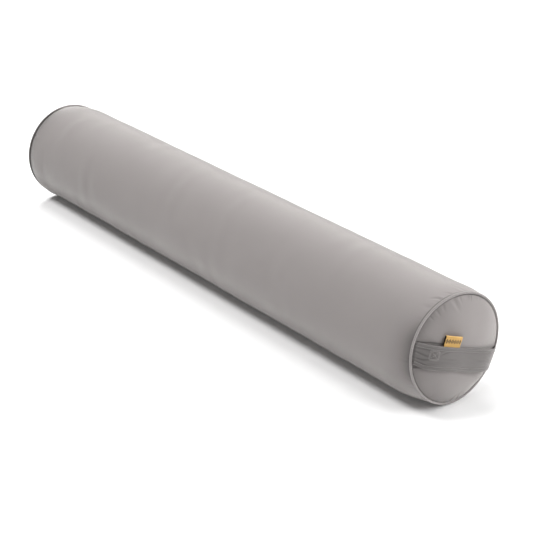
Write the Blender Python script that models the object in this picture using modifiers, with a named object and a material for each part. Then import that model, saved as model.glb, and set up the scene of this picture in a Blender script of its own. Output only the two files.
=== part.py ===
"""A long round bolster pillow: a firm filled tube that lies on its side, with domed and piped
round ends, a flat carry strap sewn across the front end and a small tag behind the strap.

Units are metres. The tube lies along X with its strapped end at +X, and Z is up. The origin is
the middle of the flat underside, halfway between the two end seams.
"""

import math
from typing import NamedTuple

import bmesh
import bpy
import numpy as np

# The tube
LENGTH = 1.200  # from end seam to end seam
RADIUS = 0.100
AXIS_HEIGHT = 0.0975  # less than the radius, so the underside lies flat
SHOULDER_LENGTH = 0.026  # the stretch in which the tube draws in to a seam
SHOULDER_POWER = 2.4
STEPS = 80  # faces round the tube, its ends and its piping

# The end seams and their piping
SEAM_RADIUS = 0.094
PIPING_RADIUS = 0.0021
PIPING_SIDES = 8
LIP_SETBACK = 0.0025  # from the piping's middle back to the tube's lip
LIP_RISE = 0.0010
GAP = 0.0003  # kept between any two pieces
PANEL_GAP = 0.0008  # kept between an end panel and the filling behind it

# The round end panels
PANEL_THICKNESS = 0.002
PANEL_SEAT = 0.0004  # the panel's rim stands this far past the seam
CROWN = 0.0095  # the broad dome of the filled end
CROWN_POWER = 2.4
ROLL = 0.0035  # the tight roll of cloth just inside the seam
ROLL_POWER = 24
RIM = SEAM_RADIUS - PIPING_RADIUS - GAP

# The carry strap and its tag, measured from the middle of the front end
STRAP_TURN = math.radians(18.3)  # the pillow lies rolled by this much
STRAP_TOP = 0.0092
STRAP_BOTTOM = -0.0303
STRAP_THICKNESS = 0.0020
STRAP_ROOT = 0.0026  # height of the strap's face over the seam at its ends
STRAP_BOW = 0.0195
STRAP_BOW_POWERS = (3.2, 5.5)  # it leaves the seam more steeply at its lower end
STRAP_SEGMENTS = (28, 6)
STRAP_END_RADIUS = SEAM_RADIUS - 0.0016  # its ends run in under the piping
RUMPLE = 0.0009  # height of the soft lengthwise folds towards the strap's upper end
RUMPLE_WAVES = 2.5  # across the strap
RUMPLE_RISE = 0.25  # these three are shares of half the strap's length
RUMPLE_END = -0.15
RUMPLE_FADE = 0.4
TAG_SPAN = (-0.0433, -0.0096)
TAG_HEIGHT = 0.0180
TAG_TURN = math.radians(3)
TAG_TUCK = 0.0060
TAG_THICKNESS = 0.0016
TAG_GAP = 0.0005  # from the back of the strap to the tag's face, along X
TAG_SEGMENTS = (8, 5)

# The strap holds the panel flat over this much either side of each end of it
PRESS_HALF_ANGLE = math.radians(14)
PRESS_FADE = math.radians(9)

# The front seam isn't quite round or flat: it is this far off centre, and its lobes fade out
# along the tube
SEAM_SHIFT = (0.0008, 0.0017)
LOBE_REACH = 0.060

# Where the rings of points lie, as shares of a panel's rim, the shoulder and half the length
FACE_PARTS = (0, 0.25, 0.5, 0.68, 0.82, 0.91, 0.955, 0.985, 1)
BACK_PARTS = (0, 0.4, 0.68, 0.86, 0.95, 0.985, 1)
SHOULDER_PARTS = (0, 0.12, 0.28, 0.48, 0.72, 1)
STRAIGHT_PARTS = (0.88, 0.7, 0.4, 0.1)

END = LENGTH / 2
GATHER_PEAK = 0.006  # a gather is deepest this far from the seam


class Gather(NamedTuple):
    """A pucker that runs from a seam: where it lies round the end, its depth on each side of the
    seam, how fast it fades and how wide it is."""

    step: float
    panel_depth: float
    tube_depth: float
    fade: float
    half_width: float


class Swell(NamedTuple):
    """A stretch of a panel's roll that stands higher than the rest: where, how much, how wide."""

    step: float
    height: float
    half_angle: float


class Lobe(NamedTuple):
    """A wave round the seam: how far it stands outwards and along X, as cosine and sine parts."""

    waves: int
    out_cos: float
    out_sin: float
    along_cos: float
    along_sin: float


FRONT_GATHERS = (
    #      step  panel   tube    fade   half width
    Gather(19, 0.0014, 0.0016, 0.010, 0.0060),
    Gather(22, 0.0024, 0.0018, 0.012, 0.0050),
    Gather(25, 0.0020, 0.0022, 0.009, 0.0055),
    Gather(27, 0.0022, 0.0000, 0.010, 0.0050),
    Gather(40, 0.0000, 0.0018, 0.008, 0.0060),
    Gather(61, 0.0018, 0.0006, 0.007, 0.0055),
    Gather(64, 0.0016, 0.0008, 0.007, 0.0055),
)
BACK_GATHERS = (
    Gather(12, 0.0012, 0.0014, 0.010, 0.0060),
    Gather(15, 0.0014, 0.0010, 0.009, 0.0055),
    Gather(33, 0.0008, 0.0014, 0.009, 0.0060),
    Gather(52, 0.0012, 0.0010, 0.008, 0.0060),
)
FRONT_SWELLS = (
    #     step  height  half angle
    Swell(69.5, 0.0035, math.radians(10)),
    Swell(3.0, 0.0010, math.radians(25)),
)
FRONT_LOBES = (
    Lobe(1, 0.0, 0.0, -0.0006, -0.0007),
    Lobe(2, -0.0004, -0.0011, 0.0018, 0.0012),
    Lobe(3, -0.0013, 0.0015, 0.0, 0.0),
)

CLOTH_COLOUR = (0.345, 0.330, 0.320, 1.0)
TAG_COLOUR = (0.600, 0.370, 0.095, 1.0)


def clear_scene():
    """Remove every object, so that the model starts from an empty scene."""
    for obj in list(bpy.data.objects):
        bpy.data.objects.remove(obj, do_unlink=True)


def make_collection(name):
    """Return a new collection in the scene."""
    collection = bpy.data.collections.new(name)
    bpy.context.scene.collection.children.link(collection)
    return collection


def make_material(name, colour, roughness):
    """Return a cloth material of one colour."""
    material = bpy.data.materials.new(name)
    material.use_nodes = True
    shader = material.node_tree.nodes["Principled BSDF"]
    shader.inputs["Base Color"].default_value = colour
    shader.inputs["Roughness"].default_value = roughness
    shader.inputs["Metallic"].default_value = 0.0
    return material


def evaluated_copy(obj):
    """Return the object's mesh with its modifiers applied, and remove the object."""
    graph = bpy.context.evaluated_depsgraph_get()
    mesh = bpy.data.meshes.new_from_object(obj.evaluated_get(graph))
    mesh.transform(obj.matrix_world)
    bpy.data.objects.remove(obj, do_unlink=True)
    return mesh


def face_outwards(mesh):
    """Weld what coincides and turn every face of a closed mesh outwards."""
    shape = bmesh.new()
    shape.from_mesh(mesh)
    bmesh.ops.remove_doubles(shape, verts=shape.verts, dist=1e-6)
    bmesh.ops.recalc_face_normals(shape, faces=shape.faces)
    shape.to_mesh(mesh)
    shape.free()


def turned(name, profile):
    """Return the closed mesh that a profile of (x, radius) points sweeps round the X axis."""
    outline = bpy.data.meshes.new(name)
    points = [(x, radius, 0.0) for x, radius in profile]
    outline.from_pydata(points, [(i, i + 1) for i in range(len(points) - 1)], [])
    obj = bpy.data.objects.new(name, outline)
    bpy.context.scene.collection.objects.link(obj)
    screw = obj.modifiers.new("Turn", "SCREW")
    screw.axis = "X"
    screw.steps = STEPS
    screw.render_steps = STEPS
    screw.use_merge_vertices = True
    screw.merge_threshold = 1e-5
    mesh = evaluated_copy(obj)
    face_outwards(mesh)
    return mesh


def move_points(mesh, *fields):
    """Pass the mesh's points, as one array, through each of the fields in turn."""
    points = np.empty(len(mesh.vertices) * 3)
    mesh.vertices.foreach_get("co", points)
    points = points.reshape(-1, 3)
    for field in fields:
        points = field(points)
    mesh.vertices.foreach_set("co", points.reshape(-1))
    mesh.update()


def finish_piece(name, mesh, material, collection, smooth_angle=40):
    """Make the mesh an object of the pillow, shaded smooth but for its sharp edges."""
    mesh.name = name
    mesh.materials.clear()
    mesh.materials.append(material)
    mesh.shade_smooth()
    mesh.set_sharp_from_angle(angle=math.radians(smooth_angle))
    obj = bpy.data.objects.new(name, mesh)
    collection.objects.link(obj)
    return obj


def smooth_step(value):
    """Ease from 0 to 1 as the value goes from 0 to 1."""
    part = np.clip(value, 0.0, 1.0)
    return part * part * (3 - 2 * part)


def polar(points):
    """Return each point's radius from the X axis and its angle, from +Y towards +Z."""
    return np.hypot(points[:, 1], points[:, 2]), np.arctan2(points[:, 2], points[:, 1])


def from_polar(along, radius, angle):
    """Return points from their place along X, radius and angle."""
    return np.column_stack([along, radius * np.cos(angle), radius * np.sin(angle)])


def angle_apart(angle, centre):
    """Return how far each angle is from the centre, the shorter way round."""
    return np.abs((angle - centre + math.pi) % (2 * math.pi) - math.pi)


def panel_face(radius):
    """Return the height of a panel's face over the seam and its slope, at each radius."""
    part = radius / RIM
    height = PANEL_SEAT + CROWN * (1 - part**CROWN_POWER) + ROLL * (1 - part**ROLL_POWER)
    slope = -(CROWN * CROWN_POWER * part ** (CROWN_POWER - 1)) / RIM
    slope -= ROLL * ROLL_POWER * part ** (ROLL_POWER - 1) / RIM
    return height, slope


def face_profile(parts, inset):
    """Return (x, radius) points down a panel's face, moved inwards at right angles to it."""
    radius = RIM * np.array(parts)
    height, slope = panel_face(radius)
    stretch = np.sqrt(1 + slope**2)
    return list(zip(END + height - inset / stretch, radius + inset * slope / stretch))


def body_profile():
    """Return half of the filled tube's outline: its crowned end, seam groove and shoulder."""
    crown = face_profile(BACK_PARTS, PANEL_THICKNESS + PANEL_GAP)
    rim_x, rim_radius = crown[-1]
    lip_x = END - LIP_SETBACK
    lip_radius = SEAM_RADIUS + LIP_RISE
    groove = [
        (0.5 * (rim_x + lip_x), rim_radius + 0.5 * PIPING_RADIUS),
        (lip_x, SEAM_RADIUS - 0.3 * PIPING_RADIUS),
    ]
    shoulder = []
    for part in SHOULDER_PARTS:
        drop = (RADIUS - lip_radius) * (1 - part) ** SHOULDER_POWER
        shoulder.append((lip_x - part * SHOULDER_LENGTH, RADIUS - drop))
    straight = [(END * part, RADIUS) for part in STRAIGHT_PARTS]
    return crown + groove + shoulder + straight


def mirrored(profile):
    """Return a half outline followed by its mirror image, to the other end of the tube."""
    return profile + [(-x, radius) for x, radius in reversed(profile)]


def panel_profile():
    """Return the outline of a round end panel: its face, its cut edge and its back."""
    face = face_profile(FACE_PARTS, 0.0)
    back = face_profile(BACK_PARTS, PANEL_THICKNESS)
    return face + back[::-1]


def strap_press(angle):
    """Return how fully the strap's two ends hold the front panel flat at each angle."""
    middle = math.asin(0.5 * (STRAP_TOP + STRAP_BOTTOM) / STRAP_END_RADIUS)
    press = np.zeros_like(angle)
    for centre in (middle - STRAP_TURN, math.pi - middle - STRAP_TURN):
        past = (angle_apart(angle, centre) - PRESS_HALF_ANGLE) / PRESS_FADE
        press = np.maximum(press, 1 - smooth_step(past))
    return press


def pucker(distance, fade):
    """Return a gather's depth along its length: none at the seam, most near it, then fading."""
    rise = np.clip(distance / GATHER_PEAK, 0, None)
    return np.where(rise < 1, smooth_step(rise), np.exp(-(rise - 1) * GATHER_PEAK / fade))


def gathered(points):
    """Press the gathers into the tube and the panels, and the front roll under the strap."""
    radius, angle = polar(points)
    along = points[:, 0].copy()
    from_seam = END - np.abs(along)
    on_face = (radius < RIM + 1e-5) & (from_seam < LIP_SETBACK)
    on_tube = (radius > SEAM_RADIUS) & (from_seam > 0)
    moved_radius = radius.copy()
    for side, gathers in ((1, FRONT_GATHERS), (-1, BACK_GATHERS)):
        here = along * side > 0
        for gather in gathers:
            centre = gather.step * 2 * math.pi / STEPS
            width = np.exp(-((angle_apart(angle, centre) * radius / gather.half_width) ** 2))
            face_depth = gather.panel_depth * width * pucker(RIM - radius, gather.fade)
            tube_depth = gather.tube_depth * width * pucker(from_seam, gather.fade)
            along = along - side * np.where(here & on_face, face_depth, 0)
            moved_radius = moved_radius - np.where(here & on_tube, tube_depth, 0)
    part = np.clip(radius / RIM, 0, 1)
    roll = (1 - part**ROLL_POWER) * smooth_step(part)
    change = -ROLL * strap_press(angle)
    for swell in FRONT_SWELLS:
        past = angle_apart(angle, swell.step * 2 * math.pi / STEPS) / swell.half_angle
        change = change + swell.height * np.exp(-(past**2))
    along = along + np.where((points[:, 0] > 0) & on_face, roll * change, 0)
    return from_polar(along, moved_radius, angle)


def out_of_round(points):
    """Shift the front end's seam and wave it, less and less along the tube and to the centre."""
    radius, angle = polar(points)
    near_end = smooth_step(1 - (END - points[:, 0]) / LOBE_REACH)
    weight = near_end * np.clip(radius / SEAM_RADIUS, 0, 1)
    along = points[:, 0].copy()
    out = radius.copy()
    for lobe in FRONT_LOBES:
        wave = lobe.waves * angle
        out += weight * (lobe.out_cos * np.cos(wave) + lobe.out_sin * np.sin(wave))
        along += weight * (lobe.along_cos * np.cos(wave) + lobe.along_sin * np.sin(wave))
    moved = from_polar(along, out, angle)
    moved[:, 1:] += near_end[:, None] * np.array(SEAM_SHIFT)
    return moved


def laid_down(points):
    """Lift the tube's axis to its height and flatten what would reach below the surface."""
    moved = points + np.array([0.0, 0.0, AXIS_HEIGHT])
    moved[:, 2] = np.maximum(moved[:, 2], 0.0)
    return moved


def strap_half_length(across):
    """Return how far the strap runs from its middle to the seam, at each place across it."""
    return np.sqrt(STRAP_END_RADIUS**2 - across**2)


def strap_height(along, across):
    """Return the height of the strap's face over the seam: a flat-topped bow, with soft
    lengthwise rumples towards its upper end."""
    reach = strap_half_length(np.clip(across, STRAP_BOTTOM, STRAP_TOP))
    part = np.clip(along / reach, -1, 1)
    power = np.where(part < 0, *STRAP_BOW_POWERS)
    bow = STRAP_ROOT + STRAP_BOW * (1 - np.abs(part) ** power)
    fullness = smooth_step((1 + part) / RUMPLE_RISE)
    fullness *= smooth_step((RUMPLE_END - part) / RUMPLE_FADE)
    share = (across - STRAP_BOTTOM) / (STRAP_TOP - STRAP_BOTTOM)
    wave = np.sin(2 * math.pi * RUMPLE_WAVES * share)
    inside = (across > STRAP_BOTTOM) & (across < STRAP_TOP)
    return bow + RUMPLE * fullness * wave * inside


def on_front_end(along, across, height):
    """Return points over the front end from their place along and across the strap."""
    turn = np.array([math.cos(STRAP_TURN), -math.sin(STRAP_TURN)])
    rise = np.array([math.sin(STRAP_TURN), math.cos(STRAP_TURN)])
    plane = along[:, None] * turn + across[:, None] * rise
    return np.column_stack([END + height, plane])


def grid_mesh(name, segments):
    """Return an open square grid from -1 to 1, in the plane that faces +Z."""
    shape = bmesh.new()
    bmesh.ops.create_grid(shape, x_segments=segments[0], y_segments=segments[1], size=1.0)
    mesh = bpy.data.meshes.new(name)
    shape.to_mesh(mesh)
    shape.free()
    return mesh


def strap_surface(points):
    """Lay a square grid out as the strap's outer face."""
    across = STRAP_BOTTOM + (points[:, 1] + 1) / 2 * (STRAP_TOP - STRAP_BOTTOM)
    along = points[:, 0] * strap_half_length(across)
    return on_front_end(along, across, strap_height(along, across))


def tag_surface(points):
    """Lay a square grid out as the tag's outer face, tucked behind the strap's upper edge and
    sewn in a little askew."""
    low, high = TAG_SPAN
    beside = points[:, 0] / 2 * (high - low)
    above = (points[:, 1] + 1) / 2 * (TAG_HEIGHT + TAG_TUCK) - TAG_TUCK
    along = (low + high) / 2 + beside * math.cos(TAG_TURN) - above * math.sin(TAG_TURN)
    across = STRAP_TOP + beside * math.sin(TAG_TURN) + above * math.cos(TAG_TURN)
    behind = STRAP_THICKNESS + TAG_GAP
    face = strap_height(along, np.full_like(along, STRAP_TOP)) - behind
    return on_front_end(along, across, face)


def thickened(name, segments, surface, thickness):
    """Return a closed sheet whose outer face is the surface and whose back lies inwards."""
    mesh = grid_mesh(name, segments)
    move_points(mesh, surface)
    obj = bpy.data.objects.new(name, mesh)
    bpy.context.scene.collection.objects.link(obj)
    solidify = obj.modifiers.new("Thickness", "SOLIDIFY")
    solidify.thickness = thickness
    solidify.offset = -1
    solidify.use_even_offset = True
    sheet = evaluated_copy(obj)
    face_outwards(sheet)
    return sheet


def make_tube_body(material, collection):
    """The filled tube, crowned at both ends."""
    mesh = turned("tube_body", mirrored(body_profile()))
    move_points(mesh, gathered, out_of_round, laid_down)
    return finish_piece("tube_body", mesh, material, collection)


def make_end_panel(name, side, material, collection):
    """A round end panel on the crowned end of the tube: side 1 is the front, -1 the back."""
    profile = [(side * x, radius) for x, radius in panel_profile()]
    mesh = turned(name, profile)
    move_points(mesh, gathered, out_of_round, laid_down)
    return finish_piece(name, mesh, material, collection)


def make_piping(name, side, material, collection):
    """The piping in the seam groove between the tube and an end panel."""
    bpy.ops.mesh.primitive_torus_add(
        location=(side * END, 0, 0),
        rotation=(0, math.pi / 2, 0),
        major_segments=STEPS,
        minor_segments=PIPING_SIDES,
        major_radius=SEAM_RADIUS,
        minor_radius=PIPING_RADIUS,
    )
    mesh = evaluated_copy(bpy.context.object)
    face_outwards(mesh)
    move_points(mesh, out_of_round, laid_down)
    return finish_piece(name, mesh, material, collection, smooth_angle=80)


def make_strap(material, collection):
    """The carry strap, bowed clear of the front end so that a hand goes behind it."""
    mesh = thickened("carry_strap", STRAP_SEGMENTS, strap_surface, STRAP_THICKNESS)
    move_points(mesh, out_of_round, laid_down)
    return finish_piece("carry_strap", mesh, material, collection)


def make_tag(material, collection):
    """The folded tag behind the strap's upper edge."""
    mesh = thickened("side_tag", TAG_SEGMENTS, tag_surface, TAG_THICKNESS)
    move_points(mesh, out_of_round, laid_down)
    return finish_piece("side_tag", mesh, material, collection)


def main():
    """Build the pillow."""
    clear_scene()
    pillow = make_collection("body_pillow")
    cloth = make_material("grey_cotton", CLOTH_COLOUR, 0.85)
    trim = make_material("grey_piping", CLOTH_COLOUR, 0.8)
    webbing = make_material("grey_strap", CLOTH_COLOUR, 0.85)
    tag = make_material("mustard_tag", TAG_COLOUR, 0.7)
    make_tube_body(cloth, pillow)
    for name, side in (("front", 1), ("back", -1)):
        make_end_panel(f"end_panel_{name}", side, cloth, pillow)
        make_piping(f"piping_{name}", side, trim, pillow)
    make_strap(webbing, pillow)
    make_tag(tag, pillow)


main()
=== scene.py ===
"""A body pillow: the cloth cover, piped end seams, carry strap and folded tag of a long bolster.

Every piece is a surface worked out with numpy in metres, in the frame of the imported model: X runs
along the pillow to its strapped end, Z is up, and the origin is the middle of the flat underside.
"""

from __future__ import annotations

import logging
import math
from dataclasses import dataclass
from enum import Enum

import bmesh
import bpy
import numpy as np
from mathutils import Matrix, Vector

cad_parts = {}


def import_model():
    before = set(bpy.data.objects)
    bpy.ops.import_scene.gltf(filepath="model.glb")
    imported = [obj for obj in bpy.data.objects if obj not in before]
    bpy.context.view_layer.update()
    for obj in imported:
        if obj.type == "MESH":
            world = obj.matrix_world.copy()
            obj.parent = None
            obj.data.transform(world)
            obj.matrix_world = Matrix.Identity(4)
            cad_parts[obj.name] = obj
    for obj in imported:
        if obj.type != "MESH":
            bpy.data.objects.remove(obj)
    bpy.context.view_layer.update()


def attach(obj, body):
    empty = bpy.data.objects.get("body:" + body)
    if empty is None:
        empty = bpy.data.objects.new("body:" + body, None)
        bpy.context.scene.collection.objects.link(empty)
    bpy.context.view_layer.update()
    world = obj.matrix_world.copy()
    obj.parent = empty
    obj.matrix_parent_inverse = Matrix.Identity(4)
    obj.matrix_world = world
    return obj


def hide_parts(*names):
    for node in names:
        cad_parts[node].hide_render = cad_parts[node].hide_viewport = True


LOG = logging.getLogger("body_pillow")
CLOTH_MAP = "cloth"  # the UV map of every sewn piece, in metres of cloth
PAINTED_SHADE = "fold"  # the attribute of painted shade: how much darker each point is made in folds, by seams and where shade falls, from 0 to 1
WELD_DISTANCE = 1e-7  # under which points are merged
LEAST_EDGE = 1e-8  # under which an edge is dissolved

Array = np.ndarray
Pair = tuple[float, float]
Triple = tuple[float, float, float]
Row = tuple[float, ...]
Draw = tuple[int, int, Pair, int, float]
Material = bpy.types.Material
Mesh = bpy.types.Mesh
Node = bpy.types.Node
Piece = bpy.types.Object
Socket = bpy.types.NodeSocket
Tree = bpy.types.NodeTree


class End(Enum):
    """An end of the pillow, and the side of the origin that it lies on."""

    FRONT = 1
    BACK = -1


# ---------------------------------------------------------------------------------------------
# Shapes as whole arrays


def smooth_step(value: Array) -> Array:
    """Ease from 0 to 1: 3 v^2 - 2 v^3, with v held between 0 and 1."""
    part = np.clip(value, 0.0, 1.0)
    return part * part * (3 - 2 * part)


def rises(value: Array, start: float, width: float) -> Array:
    """Ease from 0 at the start to 1 a width further on."""
    return smooth_step((value - start) / width)


def bell(value: Array) -> Array:
    """Give exp(-v^2), which is 1 in the middle and fades out to both sides."""
    return np.exp(-(value**2))


def once_round(count: int) -> Array:
    """Give the angles of this many even steps once round."""
    return np.arange(count) / count * 2 * math.pi


def run_along(line: Array) -> Array:
    """Give the length from a line's first point to each of its points."""
    return np.append(0, np.cumsum(np.linalg.norm(np.diff(line, axis=0), axis=1)))


def laid_out(first: Array, second: Array) -> Array:
    """Give every pair of two rows of lengths, as an array (first, second, 2)."""
    return np.stack(np.meshgrid(first, second, indexing="ij"), axis=-1)


def angle_apart(angle: Array, centre: Array | float) -> Array:
    """Give the signed turn from the centre to each angle, the shorter way round."""
    return (angle - centre + math.pi) % (2 * math.pi) - math.pi


def from_polar(along: Array, radius: Array, angle: Array) -> Array:
    """Give points (x, r cos a, r sin a), with the angle counted from +Y towards +Z."""
    along, radius, angle = np.broadcast_arrays(along, radius, angle)
    return np.stack([along, radius * np.cos(angle), radius * np.sin(angle)], axis=-1)


def polar(points: Array) -> tuple[Array, Array]:
    """Give each point's distance from the X axis and its angle, from +Y towards +Z."""
    return np.hypot(points[..., 1], points[..., 2]), np.arctan2(points[..., 2], points[..., 1])


def soft_waves(first: Array, second: Array, waves: Array) -> Array:
    """Add up plane waves over two lengths.

    Args:
        first: one length in metres, such as the way along the tube.
        second: the other length in metres, such as the way round it.
        waves: a row for each wave: its counts per metre along both, its phase and its height.

    Returns:
        The sum of height sin(2 pi (count1 first + count2 second) + phase).
    """
    total = np.zeros(np.broadcast(first, second).shape)
    for count_first, count_second, phase, height in waves:
        total += height * np.sin(
            2 * math.pi * (count_first * first + count_second * second) + phase
        )
    return total


def grid_faces(rows: int, columns: int, close_rows: bool, close_columns: bool) -> Array:
    """Give the four corners of every face of a grid, as row and column numbers.

    Args:
        rows: how many rows of points there are.
        columns: how many points are in a row.
        close_rows: whether the last row joins the first.
        close_columns: whether each row's last point joins its first.

    Returns:
        An array (faces, 4, 2) of row and column numbers, which may run one past the last.
    """
    row, column = np.meshgrid(
        np.arange(rows - 1 + close_rows), np.arange(columns - 1 + close_columns), indexing="ij"
    )
    corners = [(0, 0), (0, 1), (1, 1), (1, 0)]
    return np.stack(
        [np.stack([row + down, column + on], axis=-1) for down, on in corners], axis=2
    ).reshape(-1, 4, 2)


def cloth_mesh(
    name: str, points: Array, faces: list, cloth: Array, closed: bool, fold: Array | None = None
) -> Mesh:
    """Make a smooth mesh with its cloth map, weld its points and turn its faces outwards.

    Args:
        name: the mesh's name.
        points: the points, as rows of three.
        faces: the numbers of each face's points.
        cloth: the place on the cloth of every corner of every face, in the faces' order.
        closed: whether the surface encloses a volume, so that outwards can be worked out.
        fold: the painted shade of each point, from folds, seams and shade that falls on it.

    Returns:
        The mesh.
    """
    mesh = bpy.data.meshes.new(name)
    mesh.from_pydata(points.tolist(), [], faces)
    layer = mesh.uv_layers.new(name=CLOTH_MAP)
    layer.data.foreach_set("uv", cloth.reshape(-1).astype(np.float32))
    if fold is not None:
        shade = mesh.attributes.new(PAINTED_SHADE, "FLOAT", "POINT")
        shade.data.foreach_set("value", fold.reshape(-1).astype(np.float32))
    shape = bmesh.new()
    shape.from_mesh(mesh)
    bmesh.ops.remove_doubles(shape, verts=shape.verts, dist=WELD_DISTANCE)
    bmesh.ops.dissolve_degenerate(shape, edges=shape.edges, dist=LEAST_EDGE)
    if closed:
        bmesh.ops.recalc_face_normals(shape, faces=shape.faces)
        if shape.calc_volume(signed=True) < 0:
            bmesh.ops.reverse_faces(shape, faces=shape.faces)
    shape.to_mesh(mesh)
    shape.free()
    mesh.shade_smooth()
    return mesh


@dataclass
class Patch:
    """A grid of points, with its cloth map and painted shade, that becomes a mesh.

    The map has one more row or column than the points where the grid closes on itself.
    """

    points: Array
    cloth: Array
    fold: Array | None = None
    close_rows: bool = False
    close_columns: bool = False

    def mesh(self, name: str, closed: bool) -> Mesh:
        """Make the mesh.

        Args:
            name: the mesh's name.
            closed: whether the surface encloses a volume.

        Returns:
            The mesh, with its poles welded.
        """
        rows, columns = self.points.shape[:2]
        corners = grid_faces(rows, columns, self.close_rows, self.close_columns)
        index = (corners[..., 0] % rows) * columns + corners[..., 1] % columns
        cloth = self.cloth[corners[..., 0], corners[..., 1]]
        fold = np.zeros((rows, columns)) if self.fold is None else self.fold
        return cloth_mesh(name, self.points.reshape(-1, 3), index.tolist(), cloth, closed, fold)


def place(mesh: Mesh, material: Material, slot: str, node: str | None = None) -> Piece:
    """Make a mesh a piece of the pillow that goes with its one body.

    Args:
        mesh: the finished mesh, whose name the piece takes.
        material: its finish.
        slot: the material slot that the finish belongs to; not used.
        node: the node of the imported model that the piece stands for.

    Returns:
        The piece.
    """
    piece = bpy.data.objects.new(mesh.name, mesh)
    mesh.materials.append(material)
    bpy.context.scene.collection.objects.link(piece)
    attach(piece, "root")
    if node:
        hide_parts(node)
    LOG.info("%s: %d faces", piece.name, len(mesh.polygons))
    return piece


# ---------------------------------------------------------------------------------------------
# The pillow's own form, which every piece lies on


@dataclass(frozen=True)
class PillowForm:
    """The sizes that all pieces share, and the fields that bend a true tube to the pillow."""

    end: float = 0.600  # from the middle to an end seam
    radius: float = 0.100
    axis_height: float = 0.0975
    ground_ease: float = 0.0012
    eased_height: float = 0.01  # the height up to which what the ease adds is taken off again
    shoulder_length: float = 0.070
    shoulder_power: float = 3.2
    seam_radius: float = 0.094
    lip_setback: float = 0.0025
    lip_rise: float = 0.0010
    piping_radius: float = 0.0021
    back_lift: float = 0.0006  # how much wider the tube stays at the back seam
    back_stand: float = 0.0026  # how much further out the cord of the back seam stands
    rim: float = 0.0916
    seat: float = 0.0004
    crown: float = 0.0180
    crown_power: float = 2.0
    roll: float = 0.0012
    roll_power: float = 24.0
    strap_turn: float = math.radians(18.3)
    strap_top: float = 0.0092
    strap_bottom: float = -0.0303
    strap_end_radius: float = 0.0924
    press_half_angle: float = math.radians(14)
    press_fade: float = math.radians(9)
    # degrees round the front rim, rise, half width in degrees
    swells: tuple[Triple, ...] = ((-47.25, 0.0035, 10.0), (13.5, 0.0010, 25.0))
    # to the side and up, of the front and of the back seam
    seam_shifts: tuple[Pair, ...] = ((0.0008, 0.0017), (-0.0028, -0.0012))
    lobe_reach: float = 0.060
    #              waves    out: cos, sin       along: cos, sin
    lobes: tuple[Row, ...] = (
        (1, 0.0, 0.0, -0.0006, -0.0007),
        (2, -0.0004, -0.0011, 0.0018, 0.0012),
        (3, -0.0013, 0.0015, 0.0, 0.0),
    )
    # painted shadow of the strap over the upper and the lower edge: off the edge, climb, half
    # width, where it fades, over what
    edge_shades: tuple[Row, ...] = (
        (0.0004, 0.0020, 0.0012, -0.060, 0.055),
        (0.0014, 0.0, 0.0018, -0.086, 0.022),
    )
    shade_climb: Pair = (-0.083, 0.02)  # where the painted shadow climbs, and over what

    @property
    def strap_width(self) -> float:
        """Give the strap's width."""
        return self.strap_top - self.strap_bottom

    def strap_press(self, angle: Array) -> Array:
        """Give how fully the strap's two ends hold the front panel flat.

        Args:
            angle: the angle of each point round the panel.

        Returns:
            The share, from 0 to 1, at each point.
        """
        middle = math.asin(0.5 * (self.strap_top + self.strap_bottom) / self.strap_end_radius)
        press = np.zeros_like(angle)
        for centre in (middle - self.strap_turn, math.pi - middle - self.strap_turn):
            aside = np.abs(angle_apart(angle, centre))
            held = 1 - rises(aside, self.press_half_angle, self.press_fade)
            press = np.maximum(press, held)
        return press

    def cord_radius(self, end: End) -> float:
        """Give the radius of the ring that the piping's cord lies on."""
        return self.seam_radius + (self.back_stand if end is End.BACK else 0.0)

    def rim_radius(self, end: End) -> float:
        """Give the radius at which an end panel meets its piping."""
        return self.rim + (self.back_stand if end is End.BACK else 0.0)

    def panel_height(self, radius: Array, angle: Array, end: End) -> Array:
        """Give the height of an end panel over its seam.

        It is seat + crown (1 - p^2) + roll (1 - p^24), with p the share of the rim's radius.
        On the front the roll is lower under the strap's ends and higher where it swells.

        Args:
            radius: how far from the middle each point is.
            angle: its angle round the panel.
            end: the panel's end of the pillow.

        Returns:
            The heights.
        """
        part = np.clip(radius / self.rim_radius(end), 0, 1)
        height = self.seat + self.crown * (1 - part**self.crown_power)
        tight = 1 - part**self.roll_power
        height = height + self.roll * tight
        if end is End.BACK:
            return height
        change = -self.roll * self.strap_press(angle)
        for centre, rise, half_angle in self.swells:
            past = angle_apart(angle, math.radians(centre)) / math.radians(half_angle)
            change = change + rise * bell(past)
        return height + tight * smooth_step(part) * change

    def shoulder(self, part: Array, end: End) -> tuple[Array, Array]:
        """Work out the shoulder: its radius is R - (R - lip) (1 - part)^3.2.

        Args:
            part: the share of the way from the lip at 0 to the full tube at 1.
            end: the shoulder's end of the pillow.

        Returns:
            How far back from the seam plane it lies, and its radius.
        """
        lip = self.seam_radius + self.lip_rise + (self.back_lift if end is End.BACK else 0.0)
        radius = self.radius - (self.radius - lip) * (1 - part) ** self.shoulder_power
        return self.lip_setback + part * self.shoulder_length, radius

    def out_of_round(self, points: Array) -> Array:
        """Shift both seams and wave the front one, less and less along the tube.

        Args:
            points: points round the X axis, on the true tube.

        Returns:
            The moved points.
        """
        radius, angle = polar(points)
        along, out = points[..., 0].copy(), radius.copy()
        near = [smooth_step(1 - (self.end - end.value * along) / self.lobe_reach) for end in End]
        weight = near[0] * np.clip(radius / self.seam_radius, 0, 1)
        for waves, out_cos, out_sin, along_cos, along_sin in self.lobes:
            turn = waves * angle
            out += weight * (out_cos * np.cos(turn) + out_sin * np.sin(turn))
            along += weight * (along_cos * np.cos(turn) + along_sin * np.sin(turn))
        moved = from_polar(along, out, angle)
        for share, shift in zip(near, self.seam_shifts):
            moved[..., 1:] += share[..., None] * np.array(shift)
        return moved

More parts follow.
